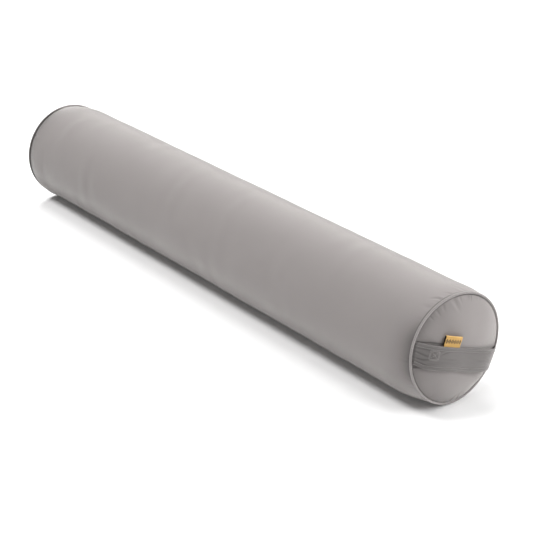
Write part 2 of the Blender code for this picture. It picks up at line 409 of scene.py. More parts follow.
    def laid_down(self, points: Array) -> Array:
        """Lift the axis to its height and ease what would sink below the ground onto it.

        The height z becomes (z + sqrt(z^2 + e^2)) / 2, less what that leaves under the tube.

        Args:
            points: points round the X axis.

        Returns:
            The points over the ground.
        """
        moved = points + np.array([0.0, 0.0, self.axis_height])
        height, ease = moved[..., 2], self.ground_ease
        lowest = self.axis_height - self.radius
        spare = 0.5 * (lowest + math.sqrt(lowest**2 + ease**2))
        eased = 0.5 * (height + np.sqrt(height**2 + ease**2))
        moved[..., 2] = eased - spare * (height < self.eased_height)
        return moved

    def settled(self, points: Array) -> Array:
        """Pass points on the true tube through both fields."""
        return self.laid_down(self.out_of_round(points))

    def strap_reach(self, across: Array) -> Array:
        """Give how far the strap runs from its middle to the seam, at each place across it."""
        return np.sqrt(self.strap_end_radius**2 - across**2)

    def strap_place(self, radius: Array, angle: Array) -> tuple[Array, Array]:
        """Turn places on the front panel into places along and across the strap."""
        turn, rise = math.cos(self.strap_turn), math.sin(self.strap_turn)
        first, second = radius * np.cos(angle), radius * np.sin(angle)
        return first * turn - second * rise, first * rise + second * turn

    def strap_shade(self, radius: Array, angle: Array) -> Array:
        """Give the painted shadow that the strap casts on the front panel beside it.

        It is a narrow band over the strap's upper edge, which fades from the left end to the
        right, and a short one in the corner where its lower edge is drawn up.

        Args:
            radius: how far from the middle each point is.
            angle: its angle round the panel.

        Returns:
            The share, from 0 to 1, at each point.
        """
        along, across = self.strap_place(radius, angle)
        climbed = rises(along, *self.shade_climb)
        shades = []
        edges = (self.strap_top, self.strap_bottom)
        for edge, (off, climb, width, start, fade) in zip(edges, self.edge_shades):
            past = (across - edge - off - climb * climbed) / width
            shades.append(bell(past) * (1 - rises(along, start, fade)))
        return np.maximum(*shades)

    def on_front(self, along: Array, across: Array, height: Array) -> Array:
        """Give points over the front end from their place along and across the strap."""
        turn, rise = math.cos(self.strap_turn), math.sin(self.strap_turn)
        return np.stack(
            [self.end + height, along * turn + across * rise, across * turn - along * rise], axis=-1
        )


@dataclass(frozen=True)
class Puckers:
    """Folds that run from a seam into the cloth beside it, one row each.

    A row holds: the angle on the seam in degrees, the lean in degrees from square to the seam,
    the length, the depth, the half width, how much steeper one side is than the other, and the
    bend, which moves the fold aside by bend times the square of the distance from the seam.
    """

    rows: tuple[Row, ...]
    small_ones: int
    seed: int
    small_depth: float = 0.00034
    small_power: float = 1.5  # how far most small folds stay under that depth
    small_shift: float = 0.35  # how far one strays to either side, as a share of their spacing
    small_lean: float = 16.0
    small_length: Pair = (0.005, 0.015)
    small_width: Pair = (0.0011, 0.0023)
    small_skew: float = 0.7
    rise: float = 0.0022  # the stretch by the seam in which a fold reaches its depth
    taper: float = 0.3  # how much narrower a fold is at its tip
    full_share: float = 0.25  # the share of its length up to which it keeps its depth
    ridge: Pair = (0.3, 2.1)  # the side ridges' share of the depth, and their place

    def table(self) -> Array:
        """Put the named folds together with the small ones, which are drawn at random.

        Returns:
            One array of rows.
        """
        rng = np.random.default_rng(self.seed)
        count, shift = self.small_ones, self.small_shift
        small = [
            (np.arange(count) + rng.uniform(-shift, shift, count)) * 360 / count,
            rng.uniform(-self.small_lean, self.small_lean, count),
            rng.uniform(*self.small_length, count),
            self.small_depth * rng.random(count) ** self.small_power,
            rng.uniform(*self.small_width, count),
            rng.uniform(-self.small_skew, self.small_skew, count),
            np.zeros(count),
        ]
        return np.concatenate([np.array(self.rows), np.stack(small, axis=1)])

    def depth(self, inwards: Array, angle: Array, radius: float) -> Array:
        """Give how deep the folds are at each point.

        Along its line a fold eases in over the rise and fades out to its length. Across it the
        depth is exp(-c^2) (1 - skew c), with low ridges of a third of it to either side.

        Args:
            inwards: the distance from the seam, into the cloth.
            angle: the angle of each point round the seam.
            radius: the radius at which the angle becomes a length.

        Returns:
            The depth in metres, which is below zero on the ridges.
        """
        total = np.zeros(np.broadcast(inwards, angle).shape)
        ridge_share, ridge_place = self.ridge
        for degrees, lean, length, depth, width, skew, bend in self.table():
            aside = angle_apart(angle, math.radians(degrees)) * radius - bend * inwards**2
            slope = math.radians(lean)
            run = inwards * math.cos(slope) + aside * math.sin(slope)
            off = aside * math.cos(slope) - inwards * math.sin(slope)
            share = run / length
            over = off / (width * (1 - self.taper * np.clip(share, 0, 1)))
            shape = bell(over) * (1 - skew * over) - ridge_share * bell(np.abs(over) - ridge_place)
            fade = 1 - rises(share, self.full_share, 1 - self.full_share)
            total += depth * smooth_step(run / self.rise) * fade * shape
        return total


FRONT_FACE_PUCKERS = Puckers(
    rows=(
        #  angle  lean   length  depth   width   skew  bend
        (128.0, 4.0, 0.012, 0.0005, 0.0020, 0.2, 0),
        (118.6, 3.0, 0.017, 0.0006, 0.0028, 0.2, 0),
        (114.2, 8.0, 0.010, 0.0002, 0.0017, 0.0, 0),
        (108.9, 16.0, 0.016, 0.0006, 0.0028, 0.1, 0),
        (95.4, -20.0, 0.028, 0.0008, 0.0045, 0.1, 0),
        (87.8, -22.0, 0.016, 0.0004, 0.0024, 0.1, 0),
        (76.0, -6.0, 0.012, 0.0004, 0.0049, 0.0, 0),
        (69.2, 2.0, 0.014, -0.0005, 0.0013, 0.0, 0),
        (58.0, 5.0, 0.010, 0.0003, 0.0018, 0.2, 0),
        (-94.0, 38.0, 0.016, 0.0011, 0.0017, 0.4, 0),
        (-84.5, 14.0, 0.015, 0.0010, 0.0017, -0.3, 0),
        (-103.0, 20.0, 0.012, 0.0005, 0.0018, 0.2, 0),
        (-128.0, 10.0, 0.014, 0.0005, 0.0022, 0.2, 0),
        (-178.6, 13.0, 0.018, 0.0020, 0.0024, 0.0, 0),
    ),
    small_ones=92,
    seed=11,
)
FRONT_TUBE_PUCKERS = Puckers(
    rows=(
        (106.9, -15.0, 0.024, 0.0011, 0.0027, -0.3, 50),
        (92.4, 38.0, 0.019, 0.0008, 0.0020, -0.3, 0),
        (97.5, 20.0, 0.010, 0.0004, 0.0017, 0.0, 0),
        (76.5, 25.0, 0.024, 0.0004, 0.0022, 0.1, 0),
        (83.0, 30.0, 0.020, 0.0003, 0.0020, 0.1, 0),
        (120.0, 12.0, 0.024, 0.0004, 0.0046, 0.0, 0),
        (136.0, -8.0, 0.014, 0.0003, 0.0020, 0.0, 0),
        (175.6, 10.0, 0.020, 0.0012, 0.0018, 0.2, 0),
        (-152.0, 6.0, 0.016, 0.0004, 0.0022, 0.0, 0),
        (-86.0, 0.0, 0.016, 0.0006, 0.0024, 0.0, 0),
    ),
    small_ones=84,
    seed=12,
)
BACK_FACE_PUCKERS = Puckers(
    rows=(
        (54.0, 10.0, 0.022, 0.0011, 0.0028, 0.4, 0),
        (67.5, -12.0, 0.018, 0.0013, 0.0022, -0.4, 0),
        (148.5, 6.0, 0.016, 0.0009, 0.0024, 0.2, 0),
        (234.0, -15.0, 0.018, 0.0011, 0.0022, 0.3, 0),
    ),
    small_ones=92,
    seed=13,
)
BACK_TUBE_PUCKERS = Puckers(
    rows=(
        (54.0, 18.0, 0.022, 0.0011, 0.0024, 0.2, 20),
        (67.5, -16.0, 0.018, 0.0009, 0.0020, -0.2, 0),
        (148.5, 4.0, 0.020, 0.0012, 0.0026, 0.2, 0),
        (234.0, 10.0, 0.016, 0.0009, 0.0022, 0.0, 0),
    ),
    small_ones=84,
    seed=14,
)


# ---------------------------------------------------------------------------------------------
# Shader node groups


class Nodes:
    """A node tree, with short ways to add nodes and to join them."""

    def __init__(self, tree: Tree) -> None:
        """Work on this tree."""
        self.tree = tree

    def feed(self, node: Node, inputs: dict) -> Node:
        """Set a node's inputs.

        Args:
            node: the node.
            inputs: for an input's name or number, a value or the output that feeds it.

        Returns:
            The node.
        """
        for name, value in inputs.items():
            if isinstance(value, Socket):
                self.tree.links.new(value, node.inputs[name])
            else:
                node.inputs[name].default_value = value
        return node

    def add(self, kind: str, inputs: dict | None = None, **settings: object) -> Node:
        """Add a node.

        Args:
            kind: the node's type name.
            inputs: what its inputs get, as feed takes it.
            settings: the node's own settings.

        Returns:
            The node.
        """
        made = self.tree.nodes.new(kind)
        for name, value in settings.items():
            setattr(made, name, value)
        return self.feed(made, inputs or {})

    def maths(self, operation: str, *values: object, clamp: bool = False) -> Socket:
        """Add a Math node and give its output."""
        inputs = dict(enumerate(values))
        return self.add("ShaderNodeMath", inputs, operation=operation, use_clamp=clamp).outputs[0]

    def noise(self, vector: object, scale: float, detail: float = 2.0) -> Socket:
        """Add a Noise Texture and give its value, about 0.5 on average."""
        inputs = {"Vector": vector, "Scale": scale, "Detail": detail, "Roughness": 0.5}
        return self.add("ShaderNodeTexNoise", inputs).outputs[0]

    def stretched(self, vector: object, scale: Triple) -> Socket:
        """Add a Mapping node that only scales, and give its vector."""
        return self.add("ShaderNodeMapping", {"Vector": vector, "Scale": scale}).outputs[0]

    def scaled(self, vector: object, factor: object) -> Socket:
        """Multiply a vector or a colour by a value, and give it."""
        inputs = {0: vector, "Scale": factor}
        return self.add("ShaderNodeVectorMath", inputs, operation="SCALE").outputs[0]

    def between(self, value: object, low: float, high: float) -> Socket:
        """Map a value from 0 to 1 onto low to high, and give it."""
        return self.maths("MULTIPLY_ADD", value, high - low, low)

    def relief(self, height: object, distance: float) -> Socket:
        """Add a Bump node for a height of up to this distance, and give its normal."""
        inputs = {"Height": height, "Distance": distance, "Strength": 1.0}
        return self.add("ShaderNodeBump", inputs).outputs[0]

    def cloth_place(self) -> Socket:
        """Give the place on the cloth map."""
        return self.add("ShaderNodeUVMap", uv_map=CLOTH_MAP).outputs[0]

    def object_place(self) -> Socket:
        """Give the place in the piece's own coordinates."""
        return self.add("ShaderNodeTexCoord").outputs["Object"]


def new_material(name: str) -> tuple[Material, Nodes, Node]:
    """Make a material, and give it with its tree and its Principled shader."""
    material = bpy.data.materials.new(name)
    material.use_nodes = True
    return material, Nodes(material.node_tree), material.node_tree.nodes["Principled BSDF"]


def new_group(
    name: str, inputs: dict[str, float | None], outputs: tuple[str, ...]
) -> tuple[Nodes, Node, Node]:
    """Make a shader node group that puts out values.

    Args:
        name: the group's name.
        inputs: for each input, its default value, or None where it takes a vector.
        outputs: the names of its outputs.

    Returns:
        Its tree, its Group Input and its Group Output.
    """
    group = bpy.data.node_groups.new(name, "ShaderNodeTree")
    for label, value in inputs.items():
        kind = "NodeSocketVector" if value is None else "NodeSocketFloat"
        socket = group.interface.new_socket(name=label, in_out="INPUT", socket_type=kind)
        if value is not None:
            socket.default_value = value
    for label in outputs:
        group.interface.new_socket(name=label, in_out="OUTPUT", socket_type="NodeSocketFloat")
    net = Nodes(group)
    return net, net.add("NodeGroupInput"), net.add("NodeGroupOutput")


def sateen_weave() -> Tree:
    """Build the weave that all cloth shares.

    The map is counted in threads. A thread's height is 1 - (2 v)^2 across it, and one warp
    thread in five comes up over the weft, two places further on in each row. Noise drawn out
    along the threads makes them uneven.

    Returns:
        The group: Vector and Thread, a thread's width in metres, to Height and Shade.
    """
    inputs = {"Vector": None, "Thread": 0.0004}
    net, start, end = new_group("sateen_weave", inputs, ("Height", "Shade"))
    counted = net.scaled(start.outputs["Vector"], net.maths("DIVIDE", 1.0, start.outputs["Thread"]))
    split = net.add("ShaderNodeSeparateXYZ", {0: counted})
    heights, places = [], []
    for axis in ("X", "Y"):
        centred = net.maths("SUBTRACT", net.maths("FRACT", split.outputs[axis]), 0.5)
        square = net.maths("MULTIPLY", net.maths("MULTIPLY", centred, centred), -4.0)
        heights.append(net.maths("ADD", square, 1.0))
        places.append(net.maths("FLOOR", split.outputs[axis]))
    row = net.maths("MULTIPLY_ADD", places[0], 2.0, places[1])
    tied = net.maths("LESS_THAN", net.maths("FRACT", net.maths("MULTIPLY", row, 0.2)), 0.1)
    over = net.maths("MULTIPLY", heights[0], net.between(tied, 0.45, 1.0))
    under = net.maths("MULTIPLY", heights[1], net.between(tied, 1.0, 0.35))
    uneven = net.noise(net.stretched(counted, (0.02, 0.7, 1.0)), 1.0)
    slubs = net.noise(net.stretched(counted, (0.012, 0.33, 1.0)), 1.0, 3.0)
    warps = net.noise(net.stretched(counted, (0.4, 0.01, 1.0)), 1.0)
    top = net.maths("MAXIMUM", over, under)
    height = net.maths("MULTIPLY", top, net.between(uneven, 0.75, 1.25))
    shade = net.maths("MULTIPLY_ADD", warps, 0.4, net.maths("MULTIPLY", slubs, 0.6))
    net.feed(end, {"Height": height, "Shade": shade})
    return net.tree


def cloth_tone() -> Tree:
    """Build the uneven tone that all cloth shares.

    Broad soft clouds and a fine heather vary the colour a little, and the painted shade attribute
    darkens it in folds, by seams and where shade falls.

    Returns:
        The group: Cloth, Place, Weave Shade, Fold, Clouds, Heather and Tuck to Tone and Wear.
    """
    net, start, end = new_group(
        "cloth_tone",
        {
            "Cloth": None,
            "Place": None,
            "Weave Shade": 0.5,
            "Fold": 0.0,
            "Clouds": 0.05,
            "Heather": 0.05,
            "Tuck": 0.25,
        },
        ("Tone", "Wear"),
    )
    given = start.outputs
    tone = 1.0
    for value, share in (
        (net.noise(given["Place"], 14.0, 3.0), "Clouds"),
        (net.noise(given["Cloth"], 700.0), "Heather"),
        (given["Weave Shade"], "Heather"),
    ):
        tone = net.maths("MULTIPLY_ADD", net.maths("SUBTRACT", value, 0.5), given[share], tone)
    # painted shade: the attribute darkens the tone, scaled by its strength
    folded = net.maths("MULTIPLY", given["Fold"], given["Tuck"])
    open_share = net.maths("SUBTRACT", 1.0, given["Fold"])
    rubbed = net.maths("MULTIPLY", net.noise(given["Place"], 60.0, 4.0), open_share)
    net.feed(end, {"Tone": net.maths("SUBTRACT", tone, folded), "Wear": rubbed})
    return net.tree


@dataclass(frozen=True)
class ClothFinish:
    """A woven cotton finish, whose fine detail follows the cloth map."""

    name: str
    colour: Triple
    thread: float = 0.00042
    thread_relief: float = 0.00006
    turn: float = 0.0  # of the weave on the cloth, 45 degrees for a bias strip
    clouds: float = 0.08
    heather: float = 0.06
    # how far the painted shade darkens the colour
    tuck: float = 0.25
    roughness: Pair = (0.78, 0.92)
    sheen: float = 0.9
    sheen_roughness: float = 0.35
    sheen_tint: Triple = (1.0, 0.98, 0.96)
    gloss: float = 0.25

    def material(self, weave: Tree, tone: Tree) -> Material:
        """Build the material.

        Args:
            weave: the shared weave group.
            tone: the shared tone group.

        Returns:
            The material.
        """
        material, net, shader = new_material(self.name)
        inputs = {"Vector": net.cloth_place(), "Rotation": (0, 0, self.turn)}
        turned = net.add("ShaderNodeMapping", inputs).outputs[0]
        inputs = {"Vector": turned, "Thread": self.thread}
        woven = net.add("ShaderNodeGroup", inputs, node_tree=weave).outputs
        # the painted shade, read from the mesh, darkens the colour
        fold = net.add("ShaderNodeAttribute", attribute_name=PAINTED_SHADE).outputs["Fac"]
        inputs = {
            "Cloth": turned,
            "Place": net.object_place(),
            "Weave Shade": woven["Shade"],
            "Fold": fold,
            "Clouds": self.clouds,
            "Heather": self.heather,
            "Tuck": self.tuck,
        }
        toned = net.add("ShaderNodeGroup", inputs, node_tree=tone).outputs
        dyed = net.add("ShaderNodeRGB").outputs[0]
        dyed.default_value = (*self.colour, 1.0)
        low, high = self.roughness
        inputs = {
            "Base Color": net.scaled(dyed, toned["Tone"]),
            "Roughness": net.maths("MULTIPLY_ADD", toned["Wear"], low - high, high, clamp=True),
            "Normal": net.relief(woven["Height"], self.thread_relief),
            "Sheen Weight": self.sheen,
            "Sheen Roughness": self.sheen_roughness,
            "Sheen Tint": (*self.sheen_tint, 1.0),
            "Specular IOR Level": self.gloss,
        }
        net.feed(shader, inputs)
        return material


COVER_CLOTH = ClothFinish("grey_sateen", (0.298, 0.275, 0.269), tuck=0.6)
# a lighter copy of the cover cloth, for the bias strip and in part as painted light that the raised
# cord catches
PIPING_CLOTH = ClothFinish(
    "grey_bias_piping", (0.325, 0.303, 0.297), turn=math.radians(45), tuck=0.6, clouds=0.03
)
STRAP_CLOTH = ClothFinish(
    "grey_strap_cloth", (0.166, 0.155, 0.151), turn=math.radians(90), tuck=0.4
)
SEWING_THREAD = ClothFinish(
    "grey_sewing_thread", (0.37, 0.352, 0.344), thread=0.00022, turn=math.radians(60), sheen=0.2
)
# near black for the tag's inside and cut edges: a dark lining, and painted shade of the gap behind
# the tag
TAG_LINING_AND_GAP_SHADE = ClothFinish(
    "dark_tag_lining_and_gap_shade", (0.022, 0.019, 0.017), thread=0.0003, sheen=0.1, clouds=0.02
)


@dataclass(frozen=True)
class TagFinish:
    """Mustard felted cloth with a row of small woven diamonds."""

    name: str = "mustard_tag_cloth"
    colour: Triple = (0.60, 0.355, 0.095)
    motif: Triple = (0.055, 0.030, 0.015)
    thread: float = 0.0003
    thread_relief: float = 0.00004
    uneven: Pair = (0.86, 1.14)  # the least and the most that the colour is scaled
    roughness: Pair = (0.62, 0.8)
    sheen: float = 0.15
    cell: float = 0.0054  # the width of one diamond's place
    row: float = 0.0090  # the height of the row over the strap's edge
    row_half: float = 3.0  # how many cells the row runs to either side
    diamond: Triple = (0.0027, 0.0011, 0.0005)  # outline, its inside, middle
    stretch: float = 0.60  # how much less the height counts than the width

    def material(self, weave: Tree) -> Material:
        """Build the material.

        Args:
            weave: the shared weave group.

        Returns:
            The material.
        """
        material, net, shader = new_material(self.name)
        cloth = net.cloth_place()
        inputs = {"Vector": cloth, "Thread": self.thread}
        woven = net.add("ShaderNodeGroup", inputs, node_tree=weave).outputs
        drawn = self.diamonds(net, cloth)
        inputs = {"Factor": drawn, 6: (*self.colour, 1.0), 7: (*self.motif, 1.0)}
        base = net.add("ShaderNodeMix", inputs, data_type="RGBA").outputs[2]
        inputs = {
            "Base Color": net.scaled(base, net.between(woven["Shade"], *self.uneven)),
            "Roughness": net.between(woven["Height"], *self.roughness),
            "Normal": net.relief(woven["Height"], self.thread_relief),
            "Sheen Weight": self.sheen,
        }
        net.feed(shader, inputs)
        return material

    def diamonds(self, net: Nodes, cloth: Socket) -> Socket:
        """Build the mask of a row of small diamonds across the tag's face.

        With d = |x| + 0.6 |y| in each cell, the mask is 1 where d lies between two sizes,
        which draws an outline, and where it is under a third, which fills the middle.

        Args:
            net: the material's tree.
            cloth: the place on the cloth map.

        Returns:
            The mask, 0 or 1.
        """
        split = net.add("ShaderNodeSeparateXYZ", {0: cloth}).outputs
        cell = net.maths("FRACT", net.maths("DIVIDE", split["X"], self.cell))
        centred = net.maths("MULTIPLY", net.maths("SUBTRACT", cell, 0.5), self.cell)
        above = net.maths("ABSOLUTE", net.maths("SUBTRACT", split["Y"], self.row))
        above = net.maths("MULTIPLY", above, self.stretch)
        near = net.maths("ADD", net.maths("ABSOLUTE", centred), above)
        outer, inner, core = self.diamond
        inside = net.maths("LESS_THAN", near, outer)
        outside = net.maths("GREATER_THAN", near, inner)
        outline = net.maths("MULTIPLY", inside, outside)
        drawn = net.maths("MAXIMUM", outline, net.maths("LESS_THAN", near, core))
        beside = net.maths("ABSOLUTE", split["X"])
        held = net.maths("LESS_THAN", beside, self.row_half * self.cell)
        return net.maths("MULTIPLY", drawn, held)


# ---------------------------------------------------------------------------------------------
# The pieces


@dataclass
class TubeCover:
    """The long tube of cloth over the filling, from one piped seam to the other."""

    form: PillowForm
    columns: int = 318
    lip_rings: int = 9
    shoulder_rings: int = 36
    straight_rings: int = 97
    # the shares of the inner rim at which the hidden crown has its rings
    crown_rings: Row = (0.0, 0.25, 0.5, 0.7, 0.85, 0.94, 0.985, 1.0)
    shoulder_spacing: Pair = (0.11, 1.6)  # the first ring's share, and the power of the spacing
    straight_spacing: float = 0.4  # how much the rings crowd towards the shoulder, up to 1
    # the columns beside the lengthwise seam, in steps of this length
    seam_columns: Row = (-6, -4, -3, -2.2, -1.5, -1, -0.5, 0, 0.5, 1, 1.5, 2.2, 3, 4, 6)
    seam_step: float = 0.7e-3
    lip_bend: float = 0.0014  # the radius of the lip's arc
    lip_angles: Pair = (25.0, 112.0)
    lip_edge: float = 0.0002  # how far the gathers run on past the lip
    inner_rim: float = 0.0900
    inset: float = 0.0034  # how far the hidden crown lies under the end panel
    under_lip: Pair = (0.0022, 0.0914)  # back from the seam plane, and the radius
    seam_angle: float = math.radians(-28)
    seam_depth: float = 0.0009
    seam_width: float = 0.0011
    seam_ridge: Triple = (0.35, 0.0035, 0.0022)  # share, place, half width
    seam_clear: float = 0.0048  # how far from the lengthwise seam the even columns stop
    even_from: Pair = (0.004, 0.03)  # from where the swells start, and over what
    fold_depth: float = 0.0014  # the depth at which a gather has its full painted shade
    fold_shade: float = 0.4  # painted shade of a gather and of the lengthwise seam
    seam_shade: Pair = (-0.0044, 0.0022)  # outwards, where the painted shade by the seam starts
    # painted shade by the front and by the back seam: degrees where it is darkest, half angle,
    # shade, reach
    lees: tuple[Row, ...] = ((172.0, 14.0, 1.0, 0.0196), (195.0, 65.0, 0.85, 0.020))
    lee_fade: float = 0.61  # the angle over which a lee's side fades out
    # painted shade on the far half's low side: shade, reach from the back seam, degrees where it
    # starts, degrees to its full shade
    dusk: Row = (0.38, 0.42, 125.0, 85.0)
    dusk_end: Pair = (4.9, 1.0)  # the angle where it starts to go, and over what
    bulge: Triple = (236.0, 30.0, 0.0030)  # by the back seam: degrees, half angle, height
    bulge_fade: Pair = (0.004, 0.05)  # from where the bulge fades, and over what
    # seed, count, least and most counts per metre, most turns round, and height
    swells: Draw = (5, 14, (2.5, 9.0), 4, 0.00018)
    creases: Draw = (8, 12, (13.0, 30.0), 3, 0.00019)
    patches: Draw = (9, 8, (2.0, 7.0), 3, 0.45)
    patch_most: Pair = (0.5, 1.4)  # how creased the cloth is on average, and at most
    least_wave: float = 0.3  # the lowest wave's share of the height

    def angles(self) -> Array:
        """Space the columns out, closer together by the lengthwise seam.

        Returns:
            Their angles.
        """
        even = once_round(self.columns)
        offsets = np.array(self.seam_columns) * self.seam_step
        beside = (self.seam_angle + offsets / self.form.radius) % (2 * math.pi)
        away = np.abs(angle_apart(even, self.seam_angle)) * self.form.radius
        return np.sort(np.concatenate([even[away > self.seam_clear], beside]))

    def half_profile(self, end: End) -> tuple[Array, Array]:
        """Work out the profile of one half of the tube, from its pole to the middle.

        The hidden crown follows the end panel a little below it. The lip is an arc that turns
        in under the piping, and the shoulder widens to the even tube.

        Args:
            end: the half's end of the pillow.

        Returns:
            The way back from the end's seam plane, and the radius.
        """
        form = self.form
        rings = self.inner_rim * np.array(self.crown_rings)
        under = rings * form.rim_radius(End.BACK) / form.rim
        crown = form.panel_height(under, np.zeros_like(rings), End.BACK) - self.inset
        back, radius = form.shoulder(np.array([0.0]), end)
        low, high = (math.radians(degrees) for degrees in self.lip_angles)
        turn = np.linspace(high, low, self.lip_rings)
        lip_back = back[0] + self.lip_bend * math.sin(low) - self.lip_bend * np.sin(turn)
        lip_radius = radius[0] - self.lip_bend * math.cos(low) + self.lip_bend * np.cos(turn)
        first, power = self.shoulder_spacing
        part = np.linspace(first, 1, self.shoulder_rings) ** power
        shoulder_back, shoulder_radius = form.shoulder(part, end)
        start = shoulder_back[-1]
        share = np.linspace(0, 1, self.straight_rings + 1)[1:]
        crowd = self.straight_spacing
        straight = start + (form.end - start) * ((1 - crowd) * share + crowd * share**2)
        radii = np.full_like(straight, form.radius)
        gap_back, gap_radius = self.under_lip
        return (
            np.concatenate([-crown, [gap_back], lip_back, shoulder_back, straight]),
            np.concatenate([rings, [gap_radius], lip_radius, shoulder_radius, radii]),
        )

    def points(self) -> tuple[Array, Array, Array]:
        """Work out the surface.

        Its radius is the profile's, less the gathers and the seam, plus the swells and the bulge.

        Returns:
            The points, their cloth map and their painted shade.
        """
        form = self.form
        back, radius = self.half_profile(End.FRONT)
        far_back, far_radius = self.half_profile(End.BACK)
        along = np.concatenate([form.end - back, (far_back[:-1] - form.end)[::-1]])
        radius = np.concatenate([radius, far_radius[:-1][::-1]])
        columns = self.angles()
        angle, x, r = columns[None, :], along[:, None], radius[:, None]
        from_seam = form.end - np.abs(x)
        open_cloth = (from_seam > form.lip_setback - self.lip_edge) & (r > form.seam_radius)
        gathers = [
            puckers.depth(from_seam - form.lip_setback, angle, form.radius)
            for puckers in (FRONT_TUBE_PUCKERS, BACK_TUBE_PUCKERS)
        ]
        depth = np.where(x > 0, *gathers) * open_cloth
        swell = self.rumples(x, angle * form.radius) * rises(from_seam, *self.even_from)
        beside = angle_apart(angle, self.seam_angle) * form.radius
        share, apart, width = self.seam_ridge
        ridges = share * bell((np.abs(beside) - apart) / width)
        seam = self.seam_depth * (bell(beside / self.seam_width) - ridges) * (r > form.seam_radius)
        middle, wide, height = self.bulge
        bulge = height * bell(angle_apart(angle, math.radians(middle)) / math.radians(wide))
        bulge = bulge * (1 - rises(from_seam, *self.bulge_fade)) * (x < 0) * (r > form.seam_radius)
        points = form.settled(from_polar(x, r - depth + swell - seam + bulge, angle))
        girth = np.append(columns, columns[0] + 2 * math.pi) * form.radius
        cloth = laid_out(run_along(np.stack([along, radius], axis=1)), girth)
        # painted shade: darker in the gathers, on the lengthwise seam, by the seams and on the far
        # half's low side
        fold = self.fold_shade * np.clip(depth / self.fold_depth, 0, 1)
        fold = fold + self.fold_shade * np.clip(seam / self.seam_depth, 0, 1)
        fold = np.clip(fold + rises(-from_seam, *self.seam_shade), 0, 1)
        return points, cloth, np.maximum(fold, self.lee(x, from_seam, angle))

    def lee(self, along: Array, from_seam: Array, angle: Array) -> Array:
        """Give the painted shade on the drawn-in cloth by the seams and on the far half's low side.

        A lee is painted shade exp(-d / reach) by its seam, and the dusk is painted shade exp(-(d /
        reach)^2) on a side that it eases into and out of.

        Args:
            along: the place along the tube.
            from_seam: the distance from the nearer seam.
            angle: the angle round the tube.

        Returns:
            The shade, from 0 to 1, at each point.
        """
        shades = []
        for middle, half_angle, shade, reach in self.lees:
            aside = np.abs(angle_apart(angle, math.radians(middle)))
            held = 1 - rises(aside, math.radians(half_angle), self.lee_fade)
            shades.append(shade * np.exp(-from_seam / reach) * held)
        shade, reach, start, full = self.dusk
        round_on = angle % (2 * math.pi)
        turned = rises(round_on, math.radians(start), math.radians(full))
        turned = turned * (1 - rises(round_on, *self.dusk_end))
        dusk = shade * bell((self.form.end + along) / reach) * turned
        return np.maximum(dusk, np.where(along > 0, *shades))

    def waves(self, seed: int, count: int, per_metre: Pair, turns: int, height: float) -> Array:
        """Draw random waves, lower the closer they lie, that close up round the tube.

        Args:
            seed: which random waves.
            count: how many.
            per_metre: the least and most counts per metre along the tube.
            turns: the most counts once round the tube.
            height: the height of a wave of the least count.

        Returns:
            The rows for soft_waves.
        """
        rng = np.random.default_rng(seed)
        along = rng.uniform(*per_metre, count)
        around = rng.integers(-turns, turns + 1, count) / (2 * math.pi * self.form.radius)
        phases = rng.uniform(0, 2 * math.pi, count)
        heights = height * rng.uniform(self.least_wave, 1.0, count) * per_metre[0] / along
        return np.stack([along, around, phases, heights], axis=1)

    def rumples(self, along: Array, around: Array) -> Array:
        """Give the slow swells of the filling, and soft creases round the tube in patches.

        The creases are short waves times (0.5 + patch)^2, where patch is a sum of slow waves.

        Args:
            along: the place along the tube.
            around: the way round it, in metres.

        Returns:
            The height over the even tube.
        """
        slow, fine, patch = (
            soft_waves(along, around, self.waves(*drawn))
            for drawn in (self.swells, self.creases, self.patches)
        )
        middle, most = self.patch_most
        return slow + fine * np.clip(middle + patch, 0.0, most) ** 2

    def build(self, material: Material) -> Piece:
        """Args:
            material: its finish.

        Returns:
            The piece.
        """
        patch = Patch(*self.points(), close_columns=True)
        piece = place(patch.mesh("tube_cover", closed=True), material, "cloth", "tube_body")
        return piece


